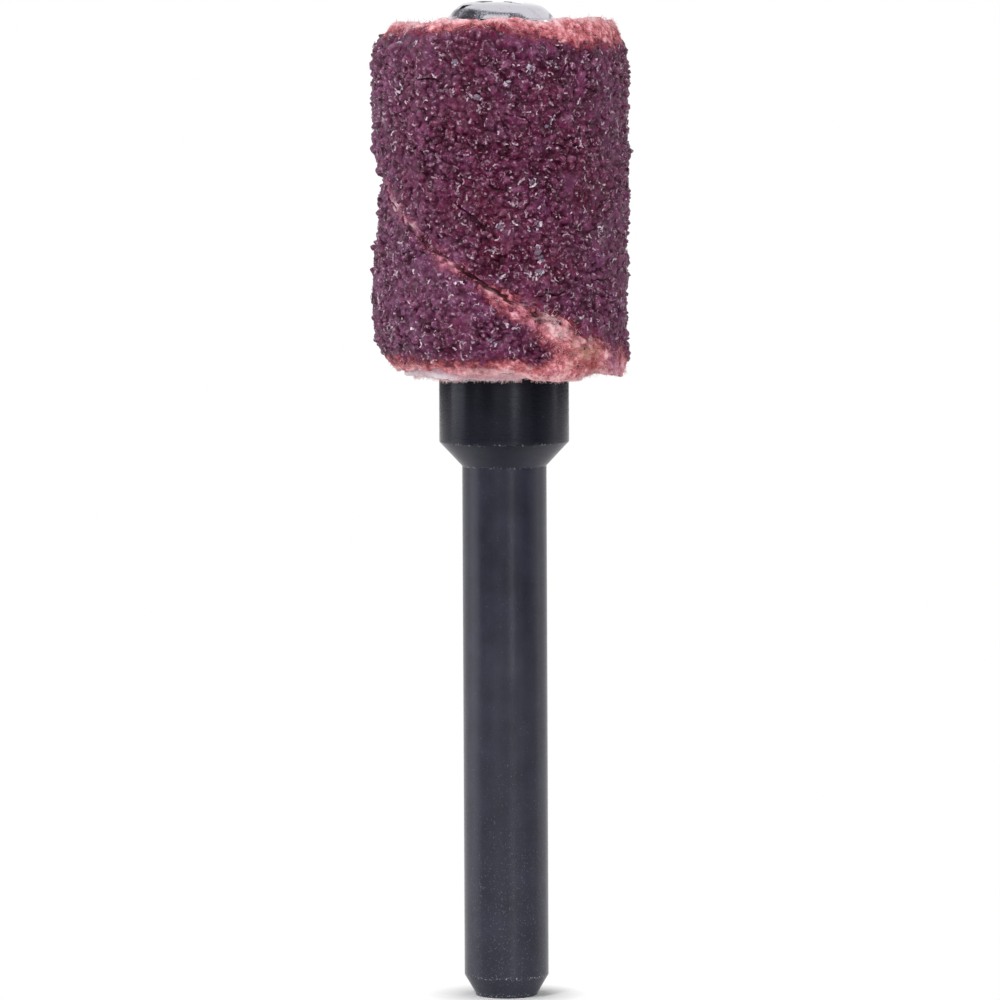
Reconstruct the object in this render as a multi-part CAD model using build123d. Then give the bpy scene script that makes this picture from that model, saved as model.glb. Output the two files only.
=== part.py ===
from build123d import *
import math
import os
import random

# Sanding band clamped on its expanding mandrel, in millimetres.
# The origin is the centre of the shank's end face and +Z runs up the axis.
# The front is -Y, and angles grow from the front towards +X.

# Mandrel, turned from one steel bar
shank_diameter = 3.175
shank_length = 20.07
tip_diameter = 2.36
tip_land = 0.10
tip_chamfer_length = 0.69
neck_length = 0.91
collar_diameter = 4.885
collar_length = 2.90
spigot_wall = 0.40
spigot_setback = 2.00
tap_runout = 0.60

# Clamp screw with a pan head and a cross recess
screw_diameter = 2.18
screw_length = 8.00
screw_point_chamfer = 0.30
thread_clearance = 0.06
head_diameter = 4.20
head_height = 1.40
head_edge_radius = 0.95
recess_span = 2.40
recess_width = 0.55
recess_depth = 1.00
recess_draft = 8.0

# Washer under the head
washer_thickness = 0.50
washer_side_clearance = 0.75
washer_hole_clearance = 0.11
washer_edge_break = 0.08

# Rubber drum that carries the band
drum_bore_clearance = 0.05
drum_grip_gap = 0.01

# Band: a paper liner, a cloth backing and the abrasive coat on it
band_length = 13.12
band_bore_diameter = 8.24
band_below_collar_top = 0.27
band_above_drum = 1.15
liner_thickness = 0.22
liner_reveal = 0.25
liner_recess = 0.12
cloth_thickness = 0.26
cloth_worn_edge = 0.14
glue_line = 0.01
turn_in_length = 1.35
turn_in_radius = 3.00

# Butt seam between the edges of the wound strip, a left-handed helix
winding_lead = 18.30
seam_height_at_front = 3.08
seam_gap = 0.22
liner_seam_gap = 0.12
liner_seam_turn = 180.0

# Abrasive coat, with the cloth left bare along the rims and the seam
grain_pitch = 0.40
grain_height = 0.22
grain_scatter = 0.06
coat_thickness = 0.05
grain_seed = 11
bare_above_seam = 0.30
bare_below_seam = 0.42
bare_lower_rim = 0.60
bare_upper_rim = 0.50
bare_edge_wave = 0.07
worn_corner_height = 1.10
worn_corner_angle = 0.55
lower_wear = 0.35
lower_wear_angle = 1.10
upper_wear = 0.65
upper_wear_angle = 0.95
wear_spread = 0.45

# Heights and radii that follow from the sizes above
neck_low = shank_length
collar_low = neck_low + neck_length
collar_top = collar_low + collar_length
cloth_low = collar_top - band_below_collar_top
cloth_high = cloth_low + band_length
liner_low = cloth_low - liner_reveal
liner_high = cloth_high - liner_recess
drum_low = collar_top
drum_high = cloth_high - band_above_drum
washer_top = drum_high + washer_thickness
spigot_top = drum_high - spigot_setback
screw_point = washer_top - screw_length

bore_radius = band_bore_diameter / 2
bend_centre_radius = bore_radius - turn_in_radius
bend_low = cloth_low + turn_in_length
bend_high = cloth_high - turn_in_length
cloth_inside = liner_thickness + glue_line
cloth_outside = cloth_inside + cloth_thickness
tapped_radius = screw_diameter / 2 + thread_clearance
spigot_radius = tapped_radius + spigot_wall
seam_rise = winding_lead / (2 * math.pi)
seam_front_height = cloth_low + seam_height_at_front


def turned(edges):
    """Solid of revolution about the vertical axis, from a closed outline of (radius, height) edges."""
    outline = Plane.XZ * (Curve() + edges)
    return revolve(make_face(outline), Axis.Z)


def turned_polygon(points):
    return turned([Polyline(*points, close=True)])


def wall_radius(offset, height):
    """Radius of the band's wall at a height, at an offset outwards from its bore.
    Both ends of the wall are turned in on one arc."""
    past = max(bend_low - height, height - bend_high, 0.0)
    return bend_centre_radius + math.sqrt((turn_in_radius + offset) ** 2 - past**2)


def wall_line(offset, low, high):
    """The wall's line at one offset: an arc, a straight and an arc, from low to high."""

    def at(height):
        return (wall_radius(offset, height), height)

    return [
        ThreePointArc(at(low), at((low + bend_low) / 2), at(bend_low)),
        Line(at(bend_low), at(bend_high)),
        ThreePointArc(at(bend_high), at((bend_high + high) / 2), at(high)),
    ]


def seam_angle(height):
    """Angle from the front at which the seam crosses a height."""
    return (seam_front_height - height) / seam_rise


def seam_cutter(gap, inner_offset, outer_offset, turn):
    """Helical blade that parts a layer of the wall along its seam."""
    low = liner_low - seam_rise
    high = cloth_high + seam_rise
    inside = wall_radius(inner_offset, low + seam_rise) - liner_thickness
    outside = bore_radius + outer_offset + cloth_thickness
    middle = (inside + outside) / 2
    path = Helix(winding_lead, high - low, middle, lefthand=True)
    start = Plane(path @ 0, x_dir=(1, 0, 0), z_dir=path % 0)
    blade = sweep(start * Rectangle(outside - inside, gap), path, is_frenet=True)
    start_angle = math.degrees(seam_angle(low)) - 90 + turn
    return Pos(0, 0, low) * Rot(0, 0, start_angle) * blade


def mandrel():
    """Shank, neck, collar and hollow spigot on one bar."""
    shank_radius = shank_diameter / 2
    collar_radius = collar_diameter / 2
    outline = [
        (0, 0),
        (tip_diameter / 2, 0),
        (tip_diameter / 2, tip_land),
        (shank_radius, tip_land + tip_chamfer_length),
        (shank_radius, neck_low),
        (collar_radius, collar_low),
        (collar_radius, collar_top),
        (spigot_radius, collar_top),
        (spigot_radius, spigot_top),
        (tapped_radius, spigot_top),
        (tapped_radius, screw_point - tap_runout),
        (0, screw_point - tap_runout - tapped_radius / 2),
    ]
    return turned_polygon(outline)


def rubber_drum():
    """Drum as squeezed by the screw, filling the band's bore."""
    bore = spigot_radius + drum_bore_clearance
    side = wall_line(-drum_grip_gap, drum_low, drum_high)
    inner = Polyline(side[0] @ 0, (bore, drum_low), (bore, drum_high), side[2] @ 1)
    return turned([*side, inner])


def top_washer():
    outer = bore_radius - washer_side_clearance
    inner = screw_diameter / 2 + washer_hole_clearance
    outline = [
        (inner, drum_high),
        (outer - washer_edge_break, drum_high),
        (outer, drum_high + washer_edge_break),
        (outer, washer_top - washer_edge_break),
        (outer - washer_edge_break, washer_top),
        (inner, washer_top),
    ]
    return turned_polygon(outline)


def head_outline():
    """Side of the screw from its axis under the point to the crown of its pan head."""
    head_radius = head_diameter / 2
    crown = washer_top + head_height
    shoulder = crown - head_edge_radius
    shank = Polyline(
        (0, crown),
        (0, screw_point),
        (screw_diameter / 2 - screw_point_chamfer, screw_point),
        (screw_diameter / 2, screw_point + screw_point_chamfer),
        (screw_diameter / 2, washer_top),
        (head_radius, washer_top),
        (head_radius, shoulder),
    )
    flat = head_radius - head_edge_radius
    diagonal = head_edge_radius * math.sqrt(0.5)
    edge = ThreePointArc(
        (head_radius, shoulder),
        (flat + diagonal, shoulder + diagonal),
        (flat, crown),
    )
    return [shank, edge, Line((flat, crown), (0, crown))]


def clamp_screw():
    """Screw through the washer into the spigot, with a tapered cross recess in its head."""
    screw = turned(head_outline())
    mouth = Plane.XY.offset(washer_top + head_height)
    arm = mouth * Rectangle(recess_span, recess_width)
    for turn in (0, 90):
        slot = extrude(Rot(0, 0, turn) * arm, -recess_depth, taper=recess_draft)
        screw -= slot
    return screw


def wall_layer(inner, outer, low, high):
    """Tube of the band's wall between two offsets from its bore."""
    inside = wall_line(inner, low, high)
    outside = wall_line(outer, low, high)
    lower_end = Line(inside[0] @ 0, outside[0] @ 0)
    upper_end = Line(inside[2] @ 1, outside[2] @ 1)
    return turned([*inside, *outside, lower_end, upper_end])


def band_liner():
    """Paper strip against the drum. Its seam is half a turn from the cloth's."""
    tube = wall_layer(0.0, liner_thickness, liner_low, liner_high)
    return tube - seam_cutter(liner_seam_gap, 0.0, liner_thickness, liner_seam_turn)


def band_cloth():
    """Cloth strip with worn outer edges at both rims, butted along the helical seam."""
    tube = wall_layer(cloth_inside, cloth_outside, cloth_low, cloth_high)
    levels = tube.edges().filter_by(GeomType.CIRCLE).group_by(Axis.Z)
    rims = [level.sort_by(SortBy.RADIUS)[-1] for level in (levels[0], levels[-1])]
    tube = fillet(rims, cloth_worn_edge)
    return tube - seam_cutter(seam_gap, cloth_inside, cloth_outside, 0.0)


def bump(angle, centre):
    """1 at a centre angle, falling smoothly to 0 at the wear's spread on both sides."""
    away = abs(math.remainder(angle - centre, 2 * math.pi)) / wear_spread
    if away >= 1:
        return 0.0
    return (1 + math.cos(math.pi * away)) / 2


def wave(angle):
    """Unevenness of the coat's edge along a rim, between -1 and 1."""
    return (math.sin(7 * angle) + math.sin(11 * angle + 2) + math.sin(17 * angle + 4)) / 3


def coat_low(angle):
    bare = bare_lower_rim + bare_edge_wave * wave(angle)
    return cloth_low + bare + lower_wear * bump(angle, lower_wear_angle)


def coat_high(angle):
    bare = bare_upper_rim + bare_edge_wave * wave(angle + 1)
    return cloth_high - bare - upper_wear * bump(angle, upper_wear_angle)


def coat_grid():
    """(angle, height) of the coat's points, in rows from the lower rim to the upper.
    Each row starts above the seam and ends below it, one turn on."""
    low = cloth_low + bare_lower_rim
    high = cloth_high - bare_upper_rim
    radius = bore_radius + cloth_outside
    rows = round((high - low) / (grain_pitch * math.sqrt(3) / 2))
    first = bare_above_seam / seam_rise
    last = 2 * math.pi - bare_below_seam / seam_rise
    columns = round((last - first) * radius / grain_pitch)
    grid = []
    for j in range(rows + 1):
        height = low + (high - low) * j / rows
        worn = max(0.0, 1 - (height - low) / worn_corner_height) * worn_corner_angle
        start = seam_angle(height) + first
        end = seam_angle(height) + last - worn
        row = []
        for i in range(columns + 1):
            angle = start + (end - start) * i / columns
            bottom = coat_low(angle)
            row.append((angle, bottom + (coat_high(angle) - bottom) * j / rows))
        grid.append(row)
    return grid


def point(angle, radius, height):
    return Vector(radius * math.sin(angle), -radius * math.cos(angle), height)


def coat_outside(grid):
    """Points of the coat's face. Grains stand up at random, and its edges stay thin and plain."""
    grains = random.Random(grain_seed)
    last_row = len(grid) - 1
    last_column = len(grid[0]) - 1
    outside = []
    for j, row in enumerate(grid):
        line = []
        for i, (angle, height) in enumerate(row):
            inner = i not in (0, last_column) and j not in (0, last_row)
            shift = grain_scatter if inner else 0.0
            angle += grains.uniform(-shift, shift) / bore_radius
            height += grains.uniform(-shift, shift)
            grain = grain_height * grains.random() if inner else 0.0
            radius = bed_radius(height) + coat_thickness + grain
            line.append((angle, point(angle, radius, height)))
        outside.append(line)
    return outside


def bed_radius(height):
    """Radius of the coat's flat facets at their corners, so that their middles clear the round cloth."""
    facet = 2 * grain_pitch
    sag = facet**2 / 8 * (1 / bore_radius + 1 / turn_in_radius)
    return wall_radius(cloth_outside, height) + glue_line + sag


def coat_inside(grid):
    """Points of the coat's bed on the cloth, every second row and column, and the last of each."""

    def kept(items):
        last = [items[-1]] if len(items) % 2 == 0 else []
        return [*items[::2], *last]

    return [
        [(angle, point(angle, bed_radius(height), height)) for angle, height in kept(row)]
        for row in kept(grid)
    ]


def stitched(first, second):
    """Triangles between two lines of (parameter, point), taken in the order of their parameters."""
    triangles = []
    a = 0
    b = 0
    while a < len(first) - 1 or b < len(second) - 1:
        end_a = a == len(first) - 1
        end_b = b == len(second) - 1
        if end_b or (not end_a and first[a + 1][0] <= second[b + 1][0]):
            triangles.append((first[a][1], first[a + 1][1], second[b][1]))
            a += 1
        else:
            triangles.append((first[a][1], second[b + 1][1], second[b][1]))
            b += 1
    return triangles


def side_line(sheet, column):
    """One column of a sheet's points with their heights, from the lower rim to the upper."""
    return [(row[column][1].Z, row[column][1]) for row in sheet]


def band_grit():
    """Abrasive coat as a closed sheet of facets, one strip wound along the seam."""
    grid = coat_grid()
    outside = coat_outside(grid)
    inside = coat_inside(grid)
    triangles = []
    for sheet in (outside, inside):
        for lower, upper in zip(sheet, sheet[1:]):
            triangles += stitched(lower, upper)
    for edge in (0, -1):
        triangles += stitched(outside[edge], inside[edge])
        triangles += stitched(side_line(outside, edge), side_line(inside, edge))
    faces = [Face(Wire.make_polygon(corners)) for corners in triangles]
    return Solid(Shell(faces))


parts = {
    "mandrel": mandrel,
    "rubber_drum": rubber_drum,
    "top_washer": top_washer,
    "clamp_screw": clamp_screw,
    "band_liner": band_liner,
    "band_cloth": band_cloth,
    "band_grit": band_grit,
}

os.makedirs("parts", exist_ok=True)
for name, make in parts.items():
    export_step(make(), f"parts/{name}.step")
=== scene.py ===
import math

import bpy
import numpy as np
from bpy.props import FloatProperty, FloatVectorProperty, IntProperty, PointerProperty
from mathutils import Matrix, Vector


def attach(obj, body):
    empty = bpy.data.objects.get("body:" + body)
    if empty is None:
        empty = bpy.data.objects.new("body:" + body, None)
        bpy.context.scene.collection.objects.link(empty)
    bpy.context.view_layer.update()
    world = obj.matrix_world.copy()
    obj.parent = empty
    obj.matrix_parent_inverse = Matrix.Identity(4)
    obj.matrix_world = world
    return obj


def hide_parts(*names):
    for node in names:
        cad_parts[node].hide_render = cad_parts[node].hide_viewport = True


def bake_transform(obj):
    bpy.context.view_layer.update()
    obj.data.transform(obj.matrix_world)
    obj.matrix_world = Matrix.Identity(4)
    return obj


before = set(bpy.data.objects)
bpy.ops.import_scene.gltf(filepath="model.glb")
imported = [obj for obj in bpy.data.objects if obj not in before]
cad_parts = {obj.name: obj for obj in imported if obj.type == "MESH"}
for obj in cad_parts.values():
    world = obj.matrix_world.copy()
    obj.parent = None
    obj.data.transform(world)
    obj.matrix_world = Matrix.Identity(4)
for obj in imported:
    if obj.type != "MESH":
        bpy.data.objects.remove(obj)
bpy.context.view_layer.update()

bl_info = {
    "name": "Sanding band on its mandrel",
    "version": (1, 0, 0),
    "blender": (4, 5, 0),
    "location": "3D View > Sidebar > Sanding band",
    "description": "Dresses the packed sanding band and its expanding mandrel in detailed pieces",
    "category": "Add Mesh",
}

MM = 0.001
TURN = 2 * math.pi


# Sizes and colours


def length(label, text, millimetres):
    """A length that the user may change, given in millimetres and kept in metres."""
    return FloatProperty(name=label, description=text, default=millimetres * MM, unit="LENGTH", precision=5)


def colour(label, text, red, green, blue):
    """A colour that the user may change."""
    return FloatVectorProperty(
        name=label, description=text, default=(red, green, blue), subtype="COLOR", size=3, min=0, max=1
    )


class MandrelSizes(bpy.types.PropertyGroup):
    """Sizes of the turned bar, the drum on it, and its washer and screw."""

    shank: length("Shank", "Across the round shank", 3.175)
    tip: length("Tip", "Across the flat end of the tip", 2.36)
    tip_land: length("Tip land", "Short straight stub below the tip's chamfer", 0.1)
    tip_height: length("Tip height", "Height where the full shank starts", 0.79)
    neck_low: length("Neck start", "Height where the shank widens to the collar", 20.07)
    neck_high: length("Neck end", "Height where the collar reaches its full width", 20.98)
    collar: length("Collar", "Across the collar under the band", 4.885)
    collar_top: length("Collar top", "Height of the face that carries the drum", 23.88)
    spigot: length("Spigot", "Across the hollow spigot inside the drum", 3.1)
    spigot_top: length("Spigot top", "Height of the spigot's end", 33.58)
    tapped_hole: length("Tapped hole", "Across the hole for the screw", 2.3)
    hole_bottom: length("Hole bottom", "Height where the tapped hole ends", 27.48)
    drum: length("Drum", "Across the rubber drum", 8.22)
    drum_bore: length("Drum bore", "Across the hole in the drum", 3.2)
    drum_top: length("Drum top", "Height of the drum's upper end", 35.58)
    washer: length("Washer", "Across the washer", 6.74)
    washer_hole: length("Washer hole", "Across the hole in the washer", 2.4)
    washer_top: length("Washer top", "Height of the washer's upper face", 36.08)
    head: length("Head", "Across the screw's head", 4.2)
    head_top: length("Head top", "Height of the screw's crown", 37.48)
    recess_span: length("Recess span", "Across the cross recess, arm end to arm end", 2.4)
    recess_width: length("Recess width", "Width of one arm of the recess", 0.55)
    recess_depth: length("Recess depth", "Depth of the recess", 1.00)
    thread: length("Thread", "Across the screw's thread", 2.18)
    thread_pitch: length("Thread pitch", "Height of one turn of the thread", 0.45)
    screw_point: length("Screw point", "Height of the screw's lower end", 28.08)


class BandSizes(bpy.types.PropertyGroup):
    """Sizes of the wound band: liner, cloth and grit."""

    liner_face: length("Liner radius", "Radius of the liner's outer face", 4.335)
    liner_wall: length("Liner thickness", "Thickness of the paper liner", 0.21)
    liner_low: length("Liner low edge", "Height of the liner's lower edge", 23.46)
    liner_high: length("Liner high edge", "Height of the liner's upper edge", 36.62)
    cloth_face: length("Cloth radius", "Radius of the cloth's outer face", 4.61)
    cloth_wall: length("Cloth thickness", "Thickness of the cloth backing", 0.26)
    low_edge: length("Low edge", "Height of the cloth's lower edge", 23.64)
    high_edge: length("High edge", "Height of the cloth's upper edge", 36.8)
    offset: length("Offset", "How far the band sits to the left of the axis", 0.1)
    lead: length("Winding lead", "Height that the seam climbs in a full turn", 18.3)
    seam_front: length("Seam height", "Height of the seam at the front", 26.69)
    slit: length("Slit", "Widest gap between the two edges at the seam", 0.03)
    turn_in: length("Turn-in", "Height over which the wall turns in at each end", 1.4)
    grain_pitch: length("Grain pitch", "Mean distance between grains", 0.265)
    grain_height: length("Grain height", "Height of a tall grain over the cloth", 0.31)
    resin: length("Resin", "Thickness of the resin between grains", 0.05)
    grain_seed: IntProperty(name="Grain seed", description="Seed of the grains' scatter", default=11, min=0)


class Colours(bpy.types.PropertyGroup):
    """Colours of the finishes."""

    oxide: colour("Oxide", "Blackened steel", 0.0155, 0.0155, 0.0262)
    worn_steel: colour("Worn steel", "Steel where the oxide has rubbed off", 0.4, 0.4, 0.42)
    plating: colour("Plating", "Bright plated screw", 0.62, 0.6, 0.66)
    zinc: colour("Zinc", "Plated washer", 0.55, 0.56, 0.58)
    rubber: colour("Rubber", "Drum", 0.022, 0.022, 0.023)
    paper: colour("Paper", "Liner", 0.86, 0.77, 0.82)
    cloth_deep: colour("Cloth, deep", "Backing where resin has soaked in", 0.19, 0.024, 0.036)
    cloth: colour("Cloth", "Backing", 0.585, 0.163, 0.19)
    cloth_pale: colour("Cloth, pale", "Raised fibres of the backing", 0.8, 0.39, 0.42)
    cloth_mauve: colour("Cloth, mauve", "Backing where purple resin has stained it", 0.4, 0.13, 0.23)
    # The darkest grit colour is also painted into the hollows and cracks between the grains as shade.
    grit_dark_and_shade: colour("Grit, dark", "Darkest grains and the gaps between them", 0.037, 0.0024, 0.0125)
    grit: colour("Grit", "Most grains", 0.093, 0.0105, 0.046)
    grit_pale: colour("Grit, pale", "Dusty grains", 0.24, 0.085, 0.163)
    grit_wine: colour("Grit, wine", "Redder patches of the coat", 0.104, 0.0085, 0.027)
    # Painted highlight: this pale colour goes on the grains' sharp edges and on the slivers.
    grit_glint: colour("Grit edge", "Broken edges of the grains", 0.95, 0.76, 0.85)
    glass: colour("Clear grain", "Clear crystals in the coat", 0.21, 0.165, 0.225)


# Modelling helpers


def leave_edit():
    """Goes back to object mode."""
    bpy.ops.object.mode_set(mode="OBJECT")


def clear_selection():
    """Leaves nothing selected, in object mode."""
    if bpy.context.object and bpy.context.object.mode != "OBJECT":
        leave_edit()
    bpy.ops.object.select_all(action="DESELECT")


def activate(piece):
    """Makes one piece the only selected and the active one."""
    clear_selection()
    piece.select_set(True)
    bpy.context.view_layer.objects.active = piece


def edit(action="SELECT"):
    """Goes into edit mode and selects everything, or nothing."""
    bpy.ops.object.mode_set(mode="EDIT")
    bpy.ops.mesh.select_all(action=action)


def face_outwards():
    """Turns every face outwards and leaves edit mode."""
    bpy.ops.mesh.select_all(action="SELECT")
    bpy.ops.mesh.normals_make_consistent(inside=False)
    leave_edit()


def turned(name, profile, segments=128, ring=False):
    """Turns a form ring by ring up a profile of (radius, height) pairs. A ring form ends where it starts."""
    radius, height = profile[0]
    clear_selection()
    bpy.ops.mesh.primitive_circle_add(
        vertices=segments, radius=radius, fill_type="NOTHING" if ring else "NGON", location=(0, 0, height)
    )
    piece = bpy.context.object
    piece.name = name
    edit()
    for next_radius, next_height in profile[1:]:
        bpy.ops.mesh.extrude_region_move(TRANSFORM_OT_translate={"value": (0, 0, next_height - height)})
        growth = next_radius / radius
        bpy.ops.transform.resize(value=(growth, growth, 1), center_override=(0, 0, next_height))
        radius, height = next_radius, next_height
    if ring:
        bpy.ops.mesh.select_all(action="SELECT")
        bpy.ops.mesh.remove_doubles(threshold=1e-7)
    face_outwards()
    bpy.ops.object.transform_apply(location=True, rotation=True, scale=True)
    return piece


def apply_modifier(piece, name, kind, **settings):
    """Adds a modifier with its settings and applies it at once."""
    activate(piece)
    modifier = piece.modifiers.new(name, kind)
    for key, value in settings.items():
        setattr(modifier, key, value)
    bpy.ops.object.modifier_apply(modifier=modifier.name)


def ease_edges(piece, width, degrees=25, segments=3):
    """Breaks the sharp edges of a turned or cut piece."""
    apply_modifier(
        piece, "Eased edge", "BEVEL", width=width, segments=segments, limit_method="ANGLE",
        angle_limit=math.radians(degrees),
    )


def smooth(piece, degrees=40):
    """Smooth shading with the sharp edges kept."""
    activate(piece)
    bpy.ops.object.shade_smooth_by_angle(angle=math.radians(degrees))


def points_of(piece):
    """The places of a piece's vertices as an array."""
    places = np.empty(len(piece.data.vertices) * 3)
    piece.data.vertices.foreach_get("co", places)
    return places.reshape(-1, 3)


def move_points(piece, places):
    """Puts a piece's vertices at new places."""
    piece.data.vertices.foreach_set("co", np.ascontiguousarray(places, dtype=np.float64).ravel())
    piece.data.update()


def store(piece, **numbers):
    """Keeps numbers for each vertex, by name, for the material to read."""
    for name, values in numbers.items():
        attribute = piece.data.attributes.new(name, "FLOAT", "POINT")
        attribute.data.foreach_set("value", np.ascontiguousarray(values, dtype=np.float32))


def finish(piece, name, material, body=None, node=None):
    """Names a piece, gives it its finish, hides the CAD node it stands for, and ties it to its body."""
    piece.name = name
    piece.data.name = name
    piece.data.materials.clear()
    piece.data.materials.append(material)
    if node:
        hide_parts(node)
    if body:
        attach(piece, body)


def lay_sheet(name, width, height, cells, back_cells, depth, through=1):
    """Lays a flat closed sheet: a fine face over a coarse back a depth below it, walled round the edge."""
    clear_selection()
    bpy.ops.mesh.primitive_grid_add(
        x_subdivisions=cells[0], y_subdivisions=cells[1], size=1, location=(0, 0, 0)
    )
    sheet = bpy.context.object
    sheet.name = name
    edit("DESELECT")
    bpy.ops.mesh.primitive_grid_add(
        x_subdivisions=back_cells[0], y_subdivisions=back_cells[1], size=1, location=(0, 0, 0)
    )
    bpy.ops.mesh.flip_normals()
    bpy.ops.transform.translate(value=(0, 0, -depth))
    bpy.ops.mesh.select_all(action="SELECT")
    bpy.ops.transform.resize(value=(width, height, 1), center_override=(0, 0, 0))
    bpy.ops.transform.translate(value=(width / 2, height / 2, 0))
    bpy.ops.mesh.select_all(action="DESELECT")
    bpy.ops.mesh.select_mode(type="EDGE")
    bpy.ops.mesh.select_non_manifold()
    bpy.ops.mesh.bridge_edge_loops(number_cuts=through - 1)
    bpy.ops.mesh.select_mode(type="VERT")
    face_outwards()
    return sheet


def refine(piece, chosen, cuts):
    """Divides the faces whose centres are chosen, each side into cuts + 1."""
    activate(piece)
    centres = np.empty(len(piece.data.polygons) * 3)
    piece.data.polygons.foreach_get("center", centres)
    wanted = chosen(centres.reshape(-1, 3))
    edit("DESELECT")
    bpy.ops.mesh.select_mode(type="FACE")
    leave_edit()
    piece.data.polygons.foreach_set("select", wanted)
    bpy.ops.object.mode_set(mode="EDIT")
    bpy.ops.mesh.subdivide(number_cuts=cuts, quadcorner="INNERVERT", ngon=True)
    bpy.ops.mesh.select_mode(type="VERT")
    leave_edit()


def curl(name, bend, twist, steps, taper, thick):
    """One thin tapering strand, one long and so thick, that curls as it goes."""
    clear_selection()
    bpy.ops.mesh.primitive_circle_add(vertices=3, radius=thick, fill_type="NGON", location=(0, 0, 0))
    strand = bpy.context.object
    strand.name = name
    edit()
    place = Vector((0, 0, 0))
    for step in range(steps):
        turn, swing = bend * (step + 0.5), twist * step
        lean = Vector((math.sin(turn) * math.cos(swing), math.sin(turn) * math.sin(swing), math.cos(turn)))
        place += lean / steps
        bpy.ops.mesh.extrude_region_move(TRANSFORM_OT_translate={"value": lean / steps})
        bpy.ops.transform.resize(value=(taper, taper, taper), center_override=place)
        if step < steps - 1:
            bpy.ops.transform.rotate(value=-bend, orient_axis="Y", center_override=place)
    face_outwards()
    return strand


def discard(*pieces):
    """Takes pieces out of the scene once they have been used."""
    for piece in pieces:
        bpy.data.objects.remove(piece, do_unlink=True)


def scatter(name, prototypes, places, turns, scales, kinds):
    """One piece of copies of prototypes at places in millimetres, and the copy that each vertex is in."""
    all_points, all_faces, owners = [], [], []
    count = 0
    for kind, prototype in enumerate(prototypes):
        shape = points_of(prototype)
        faces = [tuple(face.vertices) for face in prototype.data.polygons]
        for copy in np.nonzero(kinds == kind)[0]:
            all_points.append((shape * scales[copy]) @ turns[copy].T + places[copy])
            all_faces.extend(tuple(index + count for index in face) for face in faces)
            owners.append(np.full(len(shape), copy))
            count += len(shape)
    discard(*prototypes)
    mesh = bpy.data.meshes.new(name)
    mesh.from_pydata((np.concatenate(all_points) * MM).tolist(), [], all_faces)
    mesh.update()
    piece = bpy.data.objects.new(name, mesh)
    bpy.context.scene.collection.objects.link(piece)
    return piece, np.concatenate(owners)


# Noise and soft steps


AXIS_PRIMES = (73856093, 19349663, 83492791)
SEED_STEP = 40503
MIXING = ((15, 2246822519), (13, 3266489917))
WORD, HALF_WORD = 0xFFFFFFFF, 0xFFFF


def lattice_noise(points, pitch, seed):
    """Smooth noise from -1 to 1 over points in space, with blobs about a pitch across."""
    scaled = points / pitch
    cell = np.floor(scaled).astype(np.int64)
    part = scaled - cell
    part = part * part * (3 - 2 * part)
    total = np.zeros(len(points))
    for corner in np.ndindex(2, 2, 2):
        key = 0
        for axis, prime in enumerate(AXIS_PRIMES):
            key = key ^ ((cell[:, axis] + corner[axis]) * prime)
        key = (key + seed * SEED_STEP) & WORD
        for shift, factor in MIXING:
            key = ((key ^ (key >> shift)) * factor) & WORD
        value = ((key ^ (key >> 16)) & HALF_WORD) / (HALF_WORD / 2) - 1
        total += value * np.prod(np.where(corner, part, 1 - part), axis=1)
    return total


def layered_noise(points, pitch, seed, layers=3, fall=0.5):
    """Noise in layers, each half as wide as the one before."""
    total = np.zeros(len(points))
    for layer in range(layers):
        total += lattice_noise(points, pitch / 2**layer, seed + 31 * layer) * fall**layer
    return total


def random_turns(rng, count):
    """Random rotations, as matrices."""
    w, x, y, z = unit(rng.normal(size=(count, 4))).T
    rows = [
        [1 - 2 * (y * y + z * z), 2 * (x * y - z * w), 2 * (x * z + y * w)],
        [2 * (x * y + z * w), 1 - 2 * (x * x + z * z), 2 * (y * z - x * w)],
        [2 * (x * z - y * w), 2 * (y * z + x * w), 1 - 2 * (x * x + y * y)],
    ]
    return np.moveaxis(np.array(rows), 2, 0)


def eased(value, low, high):
    """Rises smoothly from 0 at low to 1 at high."""
    part = np.clip((value - low) / (high - low), 0, 1)
    return part * part * (3 - 2 * part)


def near(distance, reach, core=0):
    """1 within the core of something, falling smoothly to 0 at the reach."""
    return eased(-distance, -reach, -core)


def unit(rows):
    """The same directions, each one long."""
    return rows / np.linalg.norm(rows, axis=1)[:, None]


def along(degrees, table):
    """Reads a short table of (angle in degrees, value) pairs, going round the band."""
    angles, values = zip(*table)
    return np.interp((degrees + 180) % 360 - 180, angles, values, period=360)


# The wound band, in millimetres


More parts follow.
